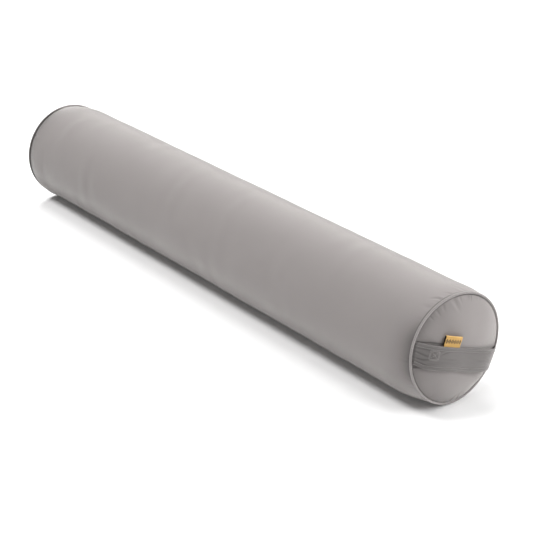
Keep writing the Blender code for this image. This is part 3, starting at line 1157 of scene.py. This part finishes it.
@dataclass
class EndCover:
    """A round panel of cloth, drawn over the filled end and sewn into the piped seam."""

    form: PillowForm
    end: End
    strap: CarryStrap | None = None  # what presses on the panel
    columns: int = 600
    # the rings near the rim: from where to where inwards, and how many
    close_rings: tuple[tuple[float, float, int], ...] = ((0.0, 0.004, 12), (0.0046, 0.036, 34))
    wide_rings: int = 18
    tuck_rings: int = 5
    tuck_least: float = 0.2  # the share of the tuck that its last ring has
    tuck: float = 0.0013
    tuck_rise: float = 0.0009
    cut_radius: float = 0.0985  # the circle that is cut, with its seam allowance
    ripple: float = 0.00016
    ripple_seed: int = 21
    ripples: int = 9  # how many waves the ripple is made of
    ripple_count: float = 22.0  # their most counts per metre
    least_ripple: float = 0.4  # the lowest wave's share of the ripple
    ripple_fade: float = 0.02
    fold_depth: float = 0.0014  # the depth at which a gather has its full painted shade
    # painted shade of a full gather
    fold_shade: float = 0.3
    seam_shade: Pair = (-0.0020, 0.0018)  # past the rim, where the painted shade by the seam starts
    lee_shade: float = 0.50  # how much painted shade darkens the rim on the side away from the window
    lee_side: Pair = (-0.1, 0.8)  # minus the cosine where that side starts, and over what
    lee_reach: float = 0.026

    def points(self) -> tuple[Array, Array, Array]:
        """Work out the surface from the rim, tucked under the piping, to the middle.

        Returns:
            The points, their cloth map and their painted shade.
        """
        form = self.form
        angle = once_round(self.columns)[None, :]
        rim = form.rim_radius(self.end)
        near = rim - np.concatenate([np.linspace(*stretch) for stretch in self.close_rings])
        rings = np.concatenate([near, np.linspace(near[-1], 0, self.wide_rings + 1)[1:]])
        radius = rings[:, None] * np.ones_like(angle)
        puckers = FRONT_FACE_PUCKERS if self.end is End.FRONT else BACK_FACE_PUCKERS
        depth = puckers.depth(rim - radius, angle, rim)
        height = form.panel_height(radius, angle * np.ones_like(radius), self.end)
        height = height - depth + self.tension(radius, angle)
        if self.strap:
            height = height - self.strap.pressed(radius, angle, height)
        turn = np.linspace(1, self.tuck_least, self.tuck_rings)[:, None] * np.ones_like(angle)
        radius = np.concatenate([rim + self.tuck_rise * turn, radius])
        height = np.concatenate([height[:1] - self.tuck * turn, height])
        # painted shade: darker in the gathers, all through the tuck under the piping, by the seam,
        # and on the front where the strap's shadow falls and the rim faces away from the window
        fold = self.fold_shade * np.clip(depth / self.fold_depth, 0, 1)
        fold = np.concatenate([np.ones_like(turn), fold])
        fold = np.maximum(fold, rises(radius - rim, *self.seam_shade))
        if self.end is End.FRONT:
            lee = self.lee_shade * rises(-np.cos(angle), *self.lee_side)
            lee = lee * np.exp(-(form.rim - radius) / self.lee_reach)
            fold = np.maximum(fold, np.maximum(form.strap_shade(radius, angle), lee))
        along = self.end.value * (form.end + height)
        points = form.settled(from_polar(along, radius, angle))
        turned = np.append(angle[0], 2 * math.pi)[None, :]
        cloth = np.stack([radius[:, :1] * np.cos(turned), radius[:, :1] * np.sin(turned)], axis=-1)
        return points, cloth, fold

    def tension(self, radius: Array, angle: Array) -> Array:
        """Give faint waves in the drawn cloth, which die out towards the seam.

        Args:
            radius: how far from the middle each point is.
            angle: its angle round the panel.

        Returns:
            The height over the even panel.
        """
        rng = np.random.default_rng(self.ripple_seed + self.end.value)
        most, count = self.ripple_count, self.ripples
        rows = [
            rng.uniform(-most, most, count),
            rng.uniform(-most, most, count),
            rng.uniform(0, 2 * math.pi, count),
            self.ripple * rng.uniform(self.least_ripple, 1.0, count),
        ]
        waves = np.stack(rows, axis=1)
        field = soft_waves(radius * np.cos(angle), radius * np.sin(angle), waves)
        return field * smooth_step((self.form.rim_radius(self.end) - radius) / self.ripple_fade)

    def build(self, material: Material) -> Piece:
        """Args:
            material: its finish.

        Returns:
            The piece.
        """
        surface = self.points()
        if self.end is End.BACK:
            surface = tuple(rows[::-1] for rows in surface)  # so that its faces point outwards
        side = self.end.name.lower()
        patch = Patch(*surface, close_columns=True)
        mesh = patch.mesh(f"end_cover_{side}", closed=False)
        piece = place(mesh, material, "cloth", f"end_panel_{side}")
        return piece


@dataclass
class PipingCover:
    """A bias strip of cloth drawn round a cord, in the seam of one end."""

    form: PillowForm
    end: End
    columns: int = 960
    sides: int = 16
    ripple: float = 0.00016
    ripple_seed: int = 31
    ripples: int = 8  # how many waves the ripple is made of
    ripple_full: float = 2.5  # the sum of the waves at which the ripple has its height
    ripple_skew: int = 2  # the most turns of a wave round the cord
    ripple_turns: tuple[int, int] = (90, 290)  # their least and most counts once round
    groove_shade: float = 0.9  # painted shade on the tube's side of the back cord
    groove_side: Pair = (-0.75, 0.5)  # the sine where that side starts, and over what
    groove_arc: Triple = (157.0, 0.75, 0.38)  # degrees where it is darkest, half angle, fade

    def build(self, material: Material) -> Piece:
        """Make the piping: a ring whose radius ripples a little where the strip is eased.

        Args:
            material: its finish.

        Returns:
            The piece.
        """
        form = self.form
        big, small = np.meshgrid(once_round(self.columns), once_round(self.sides), indexing="ij")
        rng = np.random.default_rng(self.ripple_seed + self.end.value)
        turns = rng.integers(*self.ripple_turns, self.ripples)
        phases = rng.uniform(0, 2 * math.pi, self.ripples)
        skews = rng.integers(-self.ripple_skew, self.ripple_skew + 1, self.ripples)
        waves = np.sin(big[..., None] * turns + small[..., None] * skews + phases).sum(axis=-1)
        thick = form.piping_radius + self.ripple * waves / self.ripple_full
        ring = form.cord_radius(self.end)
        along = self.end.value * form.end + thick * np.sin(small)
        points = form.settled(from_polar(along, ring + thick * np.cos(small), big))
        length, girth = 2 * math.pi * ring, 2 * math.pi * form.piping_radius
        cloth = laid_out(
            np.linspace(0, length, self.columns + 1), np.linspace(0, girth, self.sides + 1)
        )
        # painted shade on the back cord's side towards the tube, over one arc of the ring
        fold = np.zeros_like(big)
        if self.end is End.BACK:
            middle, half_angle, fade = self.groove_arc
            aside = np.abs(angle_apart(big, math.radians(middle)))
            fold = self.groove_shade * rises(np.sin(small), *self.groove_side)
            fold = fold * (1 - rises(aside, half_angle, fade))
        side = self.end.name.lower()
        patch = Patch(points, cloth, fold, close_rows=True, close_columns=True)
        mesh = patch.mesh(f"piping_cover_{side}", closed=True)
        return place(mesh, material, "piping", f"piping_{side}")


@dataclass
class CarryStrap:
    """A flat strap of folded cloth with sewn hems, bowed across the front end."""

    form: PillowForm
    root: float = 0.0026
    bow: float = 0.0203
    bow_powers: Pair = (3.2, 5.5)  # on its left and on its right half
    #  start, place across, slope, bend per metre, length, depth, half width
    folds: tuple[Row, ...] = (
        (-0.0930, -0.0009, 0.10, 0.0, 0.028, 0.0009, 0.0011),
        (-0.0930, -0.0063, -0.11, 0.0, 0.034, 0.0012, 0.0012),
        (-0.0920, -0.0158, -0.22, 13.6, 0.036, 0.0014, 0.0013),
        (-0.0925, -0.0108, -0.04, 0.0, 0.024, -0.0007, 0.0013),
        (-0.0890, -0.0212, -0.10, 0.0, 0.034, 0.0009, 0.0011),
        (-0.0860, -0.0035, -0.02, 0.0, 0.018, -0.0005, 0.0010),
        (-0.0720, -0.0205, 0.05, 0.0, 0.034, 0.0006, 0.0011),
        (-0.0600, -0.0165, 0.02, 0.0, 0.060, 0.0004, 0.0014),
        (-0.0500, -0.0095, -0.06, 0.0, 0.045, 0.0004, 0.0015),
        (-0.0490, -0.0035, 0.32, 0.0, 0.020, 0.0009, 0.0011),
        (-0.0400, -0.0185, -0.04, 0.0, 0.050, 0.0003, 0.0014),
        (0.0150, -0.0120, 0.03, 0.0, 0.060, 0.0003, 0.0018),
        (0.0450, -0.0205, 0.05, 0.0, 0.045, 0.0003, 0.0014),
    )
    fold_lead: float = 0.7  # under 1, it brings a fold's deepest place nearer to its start
    thickness: float = 0.0020
    stations: int = 260
    section: int = 96
    edge_crowd: float = 0.35  # how much the section's points crowd towards the edges, up to 1
    end_crowd: float = 0.5  # how much the stations crowd towards the seams, up to 1
    hem: float = 0.0060
    hem_thickness: float = 0.0029
    hem_step: float = 0.0015
    edge_round: float = 0.0016
    stitch_dip: float = 0.0007
    stitch_width: float = 0.0009
    hem_shade: Pair = (0.7, 0.0008)  # painted shade in the stitch line's dip, and its half width
    full_fold: float = 0.0016  # the depth at which a fold has its full painted shade
    curl: float = 0.0030
    curl_share: float = 0.035
    gather: float = 0.0034  # how far the lower edge is drawn up at the left end
    gather_share: float = 0.22
    press_ease: float = 0.0005
    press_gap: float = 0.0003  # how far clear of the strap the pressed panel stays
    press_slope: float = 1.2  # how fast the panel rises again beside the strap
    held_rim: Pair = (0.0010, 0.0040)  # from the rim, where it cannot give way
    #           along, across, half length, half width, depth of the hollow behind the tag
    tag_hollow: Row = (-0.0205, 0.0140, 0.029, 0.019, 0.0018)

    def face_height(self, part: Array, across: Array) -> Array:
        """Give the height of the strap's face over the seam.

        It is root + bow (1 - |t|^p) with t the share of the way to the seam, less the lengthwise
        folds, and both ends curl down into the seam.

        Args:
            part: the share of the way from the middle to the seam, below zero on the left.
            across: the place across the strap.

        Returns:
            The heights.
        """
        low, high = self.bow_powers
        power = np.where(part < 0, low, high)
        bow = self.root + self.bow * (1 - np.abs(part) ** power)
        curl = self.curl * smooth_step((np.abs(part) - 1 + self.curl_share) / self.curl_share)
        return bow - self.fold_depth(part, across) - curl

    def drawn_up(self, part: Array) -> Array:
        """Give how far the lower edge is drawn up."""
        return self.gather * (1 - smooth_step((part + 1) / self.gather_share))

    def pressed(self, radius: Array, angle: Array, height: Array) -> Array:
        """Give how far the strap presses the panel in, all but at its rim.

        Over the inside of the strap by h, the panel gives way by (h + sqrt(h^2 + e^2)) / 2.

        Args:
            radius: how far from the panel's middle each point is.
            angle: its angle round the panel.
            height: its height over the seam.

        Returns:
            The way in at each point.
        """
        form = self.form
        along, drawn = form.strap_place(radius, angle)
        part = along / form.strap_reach(np.clip(drawn, form.strap_bottom, form.strap_top))
        pull = self.drawn_up(part) / form.strap_width
        across = (drawn - pull * form.strap_top) / (1 - pull)
        inside = np.clip(across, form.strap_bottom, form.strap_top)
        limit = self.face_height(part, inside) - 0.5 * (self.hem_thickness + self.thickness)
        over = height - limit + self.press_gap - self.press_slope * np.abs(across - inside)
        given = 0.5 * (over + np.sqrt(over**2 + self.press_ease**2))
        middle, level, long, wide, depth = self.tag_hollow
        hollow = depth * bell((along - middle) / long) * bell((drawn - level) / wide)
        return (given + hollow) * rises(form.rim - radius, *self.held_rim)

    def gathered(self, part: Array, across: Array) -> Array:
        """Give the places across the strap once its lower edge is drawn up at the left end."""
        share = (self.form.strap_top - across) / self.form.strap_width
        return across + share * self.drawn_up(part)

    def fold_depth(self, part: Array, across: Array) -> Array:
        """Give how deep the lengthwise folds are.

        A fold follows y = y0 + slope d + bend d^2 over the distance d from its start. Across it
        the depth is exp(-c^2), and along it the depth swells and dies as sin(pi (d / length)^0.7).

        Args:
            part: the share of the way from the middle to the seam.
            across: the place across the strap.

        Returns:
            The depths.
        """
        along = part * self.form.strap_reach(across)
        total = np.zeros(np.broadcast(part, across).shape)
        for start, level, slope, bend, length, depth, width in self.folds:
            run = along - start
            off = (across - level - slope * run - bend * run**2) / width
            fade = np.sin(math.pi * np.clip(run / length, 0, 1) ** self.fold_lead)
            total += depth * fade * bell(off)
        return total

    def from_edge(self, across: Array) -> Array:
        """Give the distance from the nearer edge."""
        return np.minimum(self.form.strap_top - across, across - self.form.strap_bottom)

    def half_thickness(self, across: Array) -> Array:
        """Give half the strap's thickness: full hems, a dip at each stitch line, a soft middle.

        Args:
            across: the place across the strap.

        Returns:
            Half the thickness, which is round at both edges.
        """
        inside = self.from_edge(across)
        share = np.clip(inside / self.edge_round, 0, 1)
        hem = 1 - rises(inside, self.hem, self.hem_step)
        full = self.thickness + (self.hem_thickness - self.thickness) * hem
        dip = self.stitch_dip * bell((inside - self.hem) / self.stitch_width)
        return 0.5 * np.sqrt(share * (2 - share)) * (full - dip)

    def place_on(
        self, part: Array, across: Array, side: Array | float = 1.0, lift: Array | float = 0.0
    ) -> Array:
        """Give points on the strap.

        Args:
            part: the share of the way from the middle to the seam.
            across: the place across the strap.
            side: 1 for its outer face and -1 for its inner one.
            lift: how far out from that face.

        Returns:
            The points.
        """
        height = self.face_height(part, across) - 0.5 * self.thickness
        height = height + side * self.half_thickness(across) + lift
        along = part * self.form.strap_reach(across)
        return self.form.settled(self.form.on_front(along, self.gathered(part, across), height))

    def surface(self) -> Patch:
        """Carry the flat closed section along the bow.

        The section's points go once round: out along the face and back along the inside.

        Returns:
            The strap's grid, closed round the section.
        """
        form = self.form
        turn = once_round(self.section)
        crowded, evenly = 0.5 - 0.5 * np.cos(turn), 1 - np.abs(1 - turn / math.pi)
        share = self.edge_crowd * crowded + (1 - self.edge_crowd) * evenly
        side = np.where(turn <= math.pi, 1.0, -1.0)
        even = np.linspace(-1, 1, self.stations)
        part = self.end_crowd * np.sin(0.5 * math.pi * even) + (1 - self.end_crowd) * even
        level = form.strap_bottom + share * form.strap_width
        part, across = np.meshgrid(part, level, indexing="ij")
        points = self.place_on(part, across, side)
        width = np.linspace(0, 2 * form.strap_width, self.section + 1)
        cloth = laid_out(run_along(points[:, 0]), width)
        # painted shade in the dips of the stitch lines and in the lengthwise folds
        shade, wide = self.hem_shade
        fold = shade * bell((self.from_edge(across) - self.hem) / wide)
        fold = np.clip(fold + self.fold_depth(part, across) / self.full_fold, 0, 1)
        caps = [np.ones((1, self.section, 1)) * points[i].mean(axis=0) for i in (0, -1)]
        points = np.concatenate([caps[0], points, caps[1]])
        cloth, fold = (np.concatenate([rows[:1], rows, rows[-1:]]) for rows in (cloth, fold))
        return Patch(points, cloth, fold, close_columns=True)

    def build(self, material: Material) -> Piece:
        """Args:
            material: its finish.

        Returns:
            The piece.
        """
        patch = self.surface()
        piece = place(patch.mesh("strap_band", closed=True), material, "strap", "carry_strap")
        return piece


@dataclass
class StrapStitching:
    """The thread on the strap: a row inside each hem, and a crossed box where it is reinforced."""

    strap: CarryStrap
    stitch: float = 0.0029
    gap: float = 0.0008
    thread_radius: float = 0.0004
    crest: float = 1.5  # how high a stitch rises, in radii of the thread
    sunk: float = 0.7  # how deep its ends lie, in radii of the thread
    sides: int = 6
    stations: int = 7
    map_step: Pair = (0.0004, 0.0002)  # between points, on the cloth map
    row_points: int = 400
    side_points: int = 60  # on a side of a box, and on the cross
    row_share: float = 0.985  # how much of the strap's length the long rows take up
    box_middle: Pair = (-0.0600, -0.0060)
    box_half: Pair = (0.0085, 0.0080)
    box_inset: float = 0.2  # the inner box's share less than the outer

    def lines(self) -> list[tuple[Array, Array]]:
        """Draw the sewn lines: the long rows, both boxes and the cross.

        Returns:
            For each line, the places of its points along and across the strap.
        """
        form = self.strap.form
        rows = []
        for across in (form.strap_top - self.strap.hem, form.strap_bottom + self.strap.hem):
            reach = self.row_share * float(form.strap_reach(np.array(across)))
            along = np.linspace(-reach, reach, self.row_points)
            rows.append((along, np.full_like(along, across)))
        outer = np.array([(-1, -1), (1, -1), (1, 1), (-1, 1), (-1, -1), (1, 1)]) * self.box_half
        inner = outer[:5] * (1 - self.box_inset)
        for path in (outer, inner, outer[[3, 1]]):
            for start, stop in zip(path, path[1:]):
                share = np.linspace(0, 1, self.side_points)[:, None]
                line = np.array(self.box_middle) + start + share * (stop - start)
                rows.append((line[:, 0], line[:, 1]))
        return rows

    def stitches(self) -> Array:
        """Lay the stitches out along every line.

        Returns:
            Points (stitches, rows, ring, 3): each stitch is a thin capsule that rises from the
            cloth and goes back into it, as sin of the way along it, and is shut at both ends.
        """
        every = []
        share = np.linspace(0, 1, self.stations)
        lift = self.thread_radius * (self.crest * np.sin(math.pi * share) - self.sunk)
        thick = self.thread_radius * np.sqrt(np.clip(1 - (2 * share - 1) ** 4, 0.02, 1))
        ring = once_round(self.sides)[:, None]
        reach = self.strap.form.strap_reach
        for along, across in self.lines():
            line = self.strap.place_on(along / reach(across), across)
            run = run_along(line)
            pitch = self.stitch + self.gap
            count = max(int(run[-1] // pitch), 1)
            starts = (np.arange(count) + 0.5 * (run[-1] / pitch - count)) * pitch
            where = starts[:, None] + share * self.stitch
            at_along, at_across = np.interp(where, run, along), np.interp(where, run, across)
            middle = self.strap.place_on(at_along / reach(at_across), at_across, lift=lift)
            ahead = np.gradient(middle, axis=1)
            ahead /= np.linalg.norm(ahead, axis=-1, keepdims=True)
            out = np.array([1.0, 0.0, 0.0]) - ahead * ahead[..., :1]
            out /= np.linalg.norm(out, axis=-1, keepdims=True)
            aside = np.cross(ahead, out)
            spoke = np.cos(ring) * out[:, :, None] + np.sin(ring) * aside[:, :, None]
            every.append(middle[:, :, None] + thick[:, None, None] * spoke)
        rings = np.concatenate(every)
        caps = rings.mean(axis=2, keepdims=True) * np.ones((self.sides, 1))
        return np.concatenate([caps[:, :1], rings, caps[:, -1:]], axis=1)

    def build(self, material: Material) -> Piece:
        """Make all the stitches as one mesh of closed capsules.

        Args:
            material: their finish.

        Returns:
            The piece.
        """
        rings = self.stitches()
        count, rows, sides = rings.shape[:3]
        corners = grid_faces(rows, sides, False, True)
        index = corners[..., 0] * sides + corners[..., 1] % sides
        faces = (index + (np.arange(count) * rows * sides)[:, None, None]).reshape(-1, 4).tolist()
        cloth = np.tile(corners * self.map_step, (count, 1, 1))
        mesh = cloth_mesh("strap_stitches", rings.reshape(-1, 3), faces, cloth, closed=True)
        return place(mesh, material, "strap")


@dataclass
class FoldedTag:
    """A small loop of cloth behind the strap's upper edge, folded at its top."""

    strap: CarryStrap
    span: Pair = (-0.0453, -0.0116)
    height: float = 0.0180
    turn: float = math.radians(1)
    skew: float = 0.12
    tuck: float = 0.0050
    gap: float = 0.0003
    loop_depth: float = 0.0036
    foot_share: float = 0.24  # how much of the loop's depth is left at its foot
    foot_reach: float = 0.75  # the share of its length in which it reaches its full depth
    lean: float = 0.0031  # how far the fold stands out over the foot
    wave: Triple = (0.0004, 0.03, 0.7)  # height, length and phase of its bend
    cloth_thickness: float = 0.0006
    columns: int = 41
    rows: int = 26
    fold_rows: int = 13

    def build(self, material: Material, lining_and_gap_shade: Material) -> Piece:
        """Make the loop: up the face, over a half circle, and down the back behind it.

        Args:
            material: the finish of its outside.
            lining_and_gap_shade: the finish of its inside and its cut edges, a dark lining that
                also paints the shade in the gap behind the tag.

        Returns:
            The piece.
        """
        form = self.strap.form
        low, high = self.span
        long = self.height + self.tuck
        bend = 0.5 * (self.loop_depth - self.cloth_thickness)
        face = np.linspace(0, long - bend, self.rows)
        turn = np.linspace(0, math.pi, self.fold_rows)[1:-1]
        up = np.concatenate([face, face[-1] + bend * np.sin(turn), face[::-1]]) - self.tuck
        depth = np.concatenate([0 * face, bend * (1 - np.cos(turn)), np.full(self.rows, 2 * bend)])
        run = run_along(np.stack([up, depth], axis=1))
        places = np.linspace(-0.5, 0.5, self.columns) * (high - low)
        beside, above = np.meshgrid(places, up, indexing="xy")
        raised = smooth_step((above + self.tuck) / (self.foot_reach * long))
        behind = depth[:, None] * (self.foot_share + (1 - self.foot_share) * raised)
        behind = behind - self.lean * smooth_step(above / self.height)
        along = 0.5 * (low + high) + beside * math.cos(self.turn) - above * math.sin(self.turn)
        along = along - self.skew * above
        across = form.strap_top + beside * math.sin(self.turn) + above * math.cos(self.turn)
        top = np.full_like(along, form.strap_top)
        base = self.strap.face_height(along / form.strap_reach(top), top)
        base = base - 0.5 * (self.strap.thickness + self.strap.hem_thickness)
        base = base - self.gap - 0.5 * self.cloth_thickness
        height, length, phase = self.wave
        wave = height * np.sin(2 * math.pi * beside / length + phase)
        wave = wave * np.clip(above / self.height, 0, 1)
        points = form.settled(form.on_front(along, across, base - behind + wave))
        cloth = np.stack(np.meshgrid(places, run - self.tuck, indexing="xy"), axis=-1)
        mesh = Patch(points, cloth).mesh("tag_flap", closed=False)
        piece = place(mesh, material, "tag", "side_tag")
        # its inside and cut edges are near black: a dark lining and painted shade of the gap behind
        # the tag
        mesh.materials.append(lining_and_gap_shade)
        solid = piece.modifiers.new("cloth thickness", "SOLIDIFY")
        solid.thickness = self.cloth_thickness
        solid.offset = 0.0
        solid.material_offset = 1
        solid.material_offset_rim = 1
        return piece


# ---------------------------------------------------------------------------------------------
# The studio


def heading(azimuth: float, elevation: float) -> Vector:
    """Give the unit vector at these angles in degrees, counted from +X towards +Y and upwards."""
    turn, rise = math.radians(azimuth), math.radians(elevation)
    level = math.cos(rise)
    return Vector((math.cos(turn) * level, math.sin(turn) * level, math.sin(rise)))


@dataclass(frozen=True)
class Softbox:
    """A broad square light, aimed at the front half of the pillow."""

    name: str
    azimuth: float  # degrees from +X towards +Y
    elevation: float
    size: float
    power: float
    distance: float = 7.0
    aim: Triple = (0.2, 0.0, 0.1)

    def build(self) -> None:
        """Make the light."""
        lamp = bpy.data.lights.new(self.name, "AREA")
        lamp.shape, lamp.size, lamp.energy = "SQUARE", self.size, self.power
        away = heading(self.azimuth, self.elevation)
        light = bpy.data.objects.new(self.name, lamp)
        light.location = Vector(self.aim) + away * self.distance
        light.rotation_mode = "QUATERNION"
        light.rotation_quaternion = away.to_track_quat("Z", "Y")
        bpy.context.scene.collection.objects.link(light)


@dataclass
class Studio:
    """A pale paper floor that fades into a white surround, and a few broad softboxes."""

    floor_half: float = 9.0
    floor_shade: float = 0.90
    seen_shade: float = 0.96  # how bright the paper looks to the eye
    paper_roughness: float = 0.9
    paper_gloss: float = 0.1
    glow: float = 0.05  # the light that the paper lets through from below
    fade: Pair = (2.0, 3.6)  # from where to where the floor fades out
    surround: float = 0.02
    white: Row = (1.0, 1.0, 1.0, 1.0)
    softboxes: tuple[Softbox, ...] = (
        Softbox("low_window", 75.0, 8.0, 2.0, 185.0),
        Softbox("high_window", 75.0, 30.0, 3.0, 162.0),
        Softbox("near_window", 40.0, 30.0, 2.0, 148.0),
        Softbox("front_fill", 20.0, 30.0, 2.0, 100.0),
        Softbox("far_window", 145.0, 38.0, 3.0, 176.0),
        Softbox("overhead", 0.0, 85.0, 3.0, 58.0),
        Softbox("far_top", 180.0, 60.0, 2.0, 132.0),
        Softbox("near_top", 240.0, 60.0, 2.0, 280.0),
        Softbox("front_top", 300.0, 60.0, 2.0, 56.0),
    )

    def paper(self) -> Material:
        """Build the floor's finish, which turns white with the distance for the eye alone.

        Returns:
            The material.
        """
        material, net, shader = new_material("pale_paper")
        eye = net.add("ShaderNodeLightPath").outputs["Is Camera Ray"]
        inputs = {
            "Base Color": net.between(eye, self.floor_shade, self.seen_shade),
            "Roughness": self.paper_roughness,
            "Specular IOR Level": self.paper_gloss,
            "Emission Color": self.white,
            "Emission Strength": self.glow,
        }
        net.feed(shader, inputs)
        inputs = {0: net.object_place()}
        away = net.add("ShaderNodeVectorMath", inputs, operation="LENGTH").outputs["Value"]
        start, stop = self.fade
        inputs = {"Value": away, "From Min": start, "From Max": stop}
        far = net.add("ShaderNodeMapRange", inputs, interpolation_type="SMOOTHSTEP").outputs[0]
        bright = net.add("ShaderNodeEmission", {"Color": self.white, "Strength": 1.0}).outputs[0]
        inputs = {0: net.maths("MULTIPLY", far, eye), 1: shader.outputs[0], 2: bright}
        mixed = net.add("ShaderNodeMixShader", inputs).outputs[0]
        net.feed(material.node_tree.nodes["Material Output"], {"Surface": mixed})
        return material

    def surroundings(self) -> bpy.types.World:
        """Build the surround: white to the eye, and only a little light of its own.

        Returns:
            The world.
        """
        world = bpy.data.worlds.new("studio_surround")
        world.use_nodes = True
        net = Nodes(world.node_tree)
        seen = net.add("ShaderNodeLightPath").outputs["Is Camera Ray"]
        strength = net.maths("MAXIMUM", seen, self.surround)
        inputs = {"Color": self.white, "Strength": strength}
        net.feed(world.node_tree.nodes["Background"], inputs)
        return world

    def build(self) -> None:
        """Make the floor, the surround and the lights."""
        half = self.floor_half
        corners = [(-half, -half, 0), (half, -half, 0), (half, half, 0), (-half, half, 0)]
        mesh = bpy.data.meshes.new("studio_floor")
        mesh.from_pydata(corners, [], [(0, 1, 2, 3)])
        mesh.materials.append(self.paper())
        floor = bpy.data.objects.new("studio_floor", mesh)
        bpy.context.scene.collection.objects.link(floor)
        bpy.context.scene.world = self.surroundings()
        bpy.context.scene.view_settings.view_transform = "Standard"
        for softbox in self.softboxes:
            softbox.build()
        LOG.info("studio: %d softboxes", len(self.softboxes))


@dataclass(frozen=True)
class Viewpoint:
    """Where the camera stands and how it looks."""

    place: Triple = (2.191, -1.55604, 1.20432)
    azimuth: float = 143.30  # degrees from +X towards +Y
    elevation: float = -23.59
    lens: float = 105.23
    sensor: float = 36.0

    def build(self) -> None:
        """Make the camera and look through it."""
        lens = bpy.data.cameras.new("view")
        lens.lens, lens.sensor_width = self.lens, self.sensor
        camera = bpy.data.objects.new("view", lens)
        camera.location = self.place
        camera.rotation_mode = "QUATERNION"
        forward = heading(self.azimuth, self.elevation)
        camera.rotation_quaternion = forward.to_track_quat("-Z", "Y")
        bpy.context.scene.collection.objects.link(camera)
        bpy.context.scene.camera = camera


def main() -> None:
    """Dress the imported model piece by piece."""
    logging.basicConfig(level=logging.INFO, format="%(message)s")
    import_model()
    Viewpoint().build()
    Studio().build()
    form = PillowForm()
    weave, tone = sateen_weave(), cloth_tone()
    cover = COVER_CLOTH.material(weave, tone)
    piping = PIPING_CLOTH.material(weave, tone)
    band = STRAP_CLOTH.material(weave, tone)
    thread = SEWING_THREAD.material(weave, tone)
    TubeCover(form).build(cover)
    strap = CarryStrap(form)
    for end in End:
        EndCover(form, end, strap=strap if end is End.FRONT else None).build(cover)
        PipingCover(form, end).build(piping)
    strap.build(band)
    StrapStitching(strap).build(thread)
    FoldedTag(strap).build(TagFinish().material(weave), TAG_LINING_AND_GAP_SHADE.material(weave, tone))


if __name__ == "__main__":
    main()
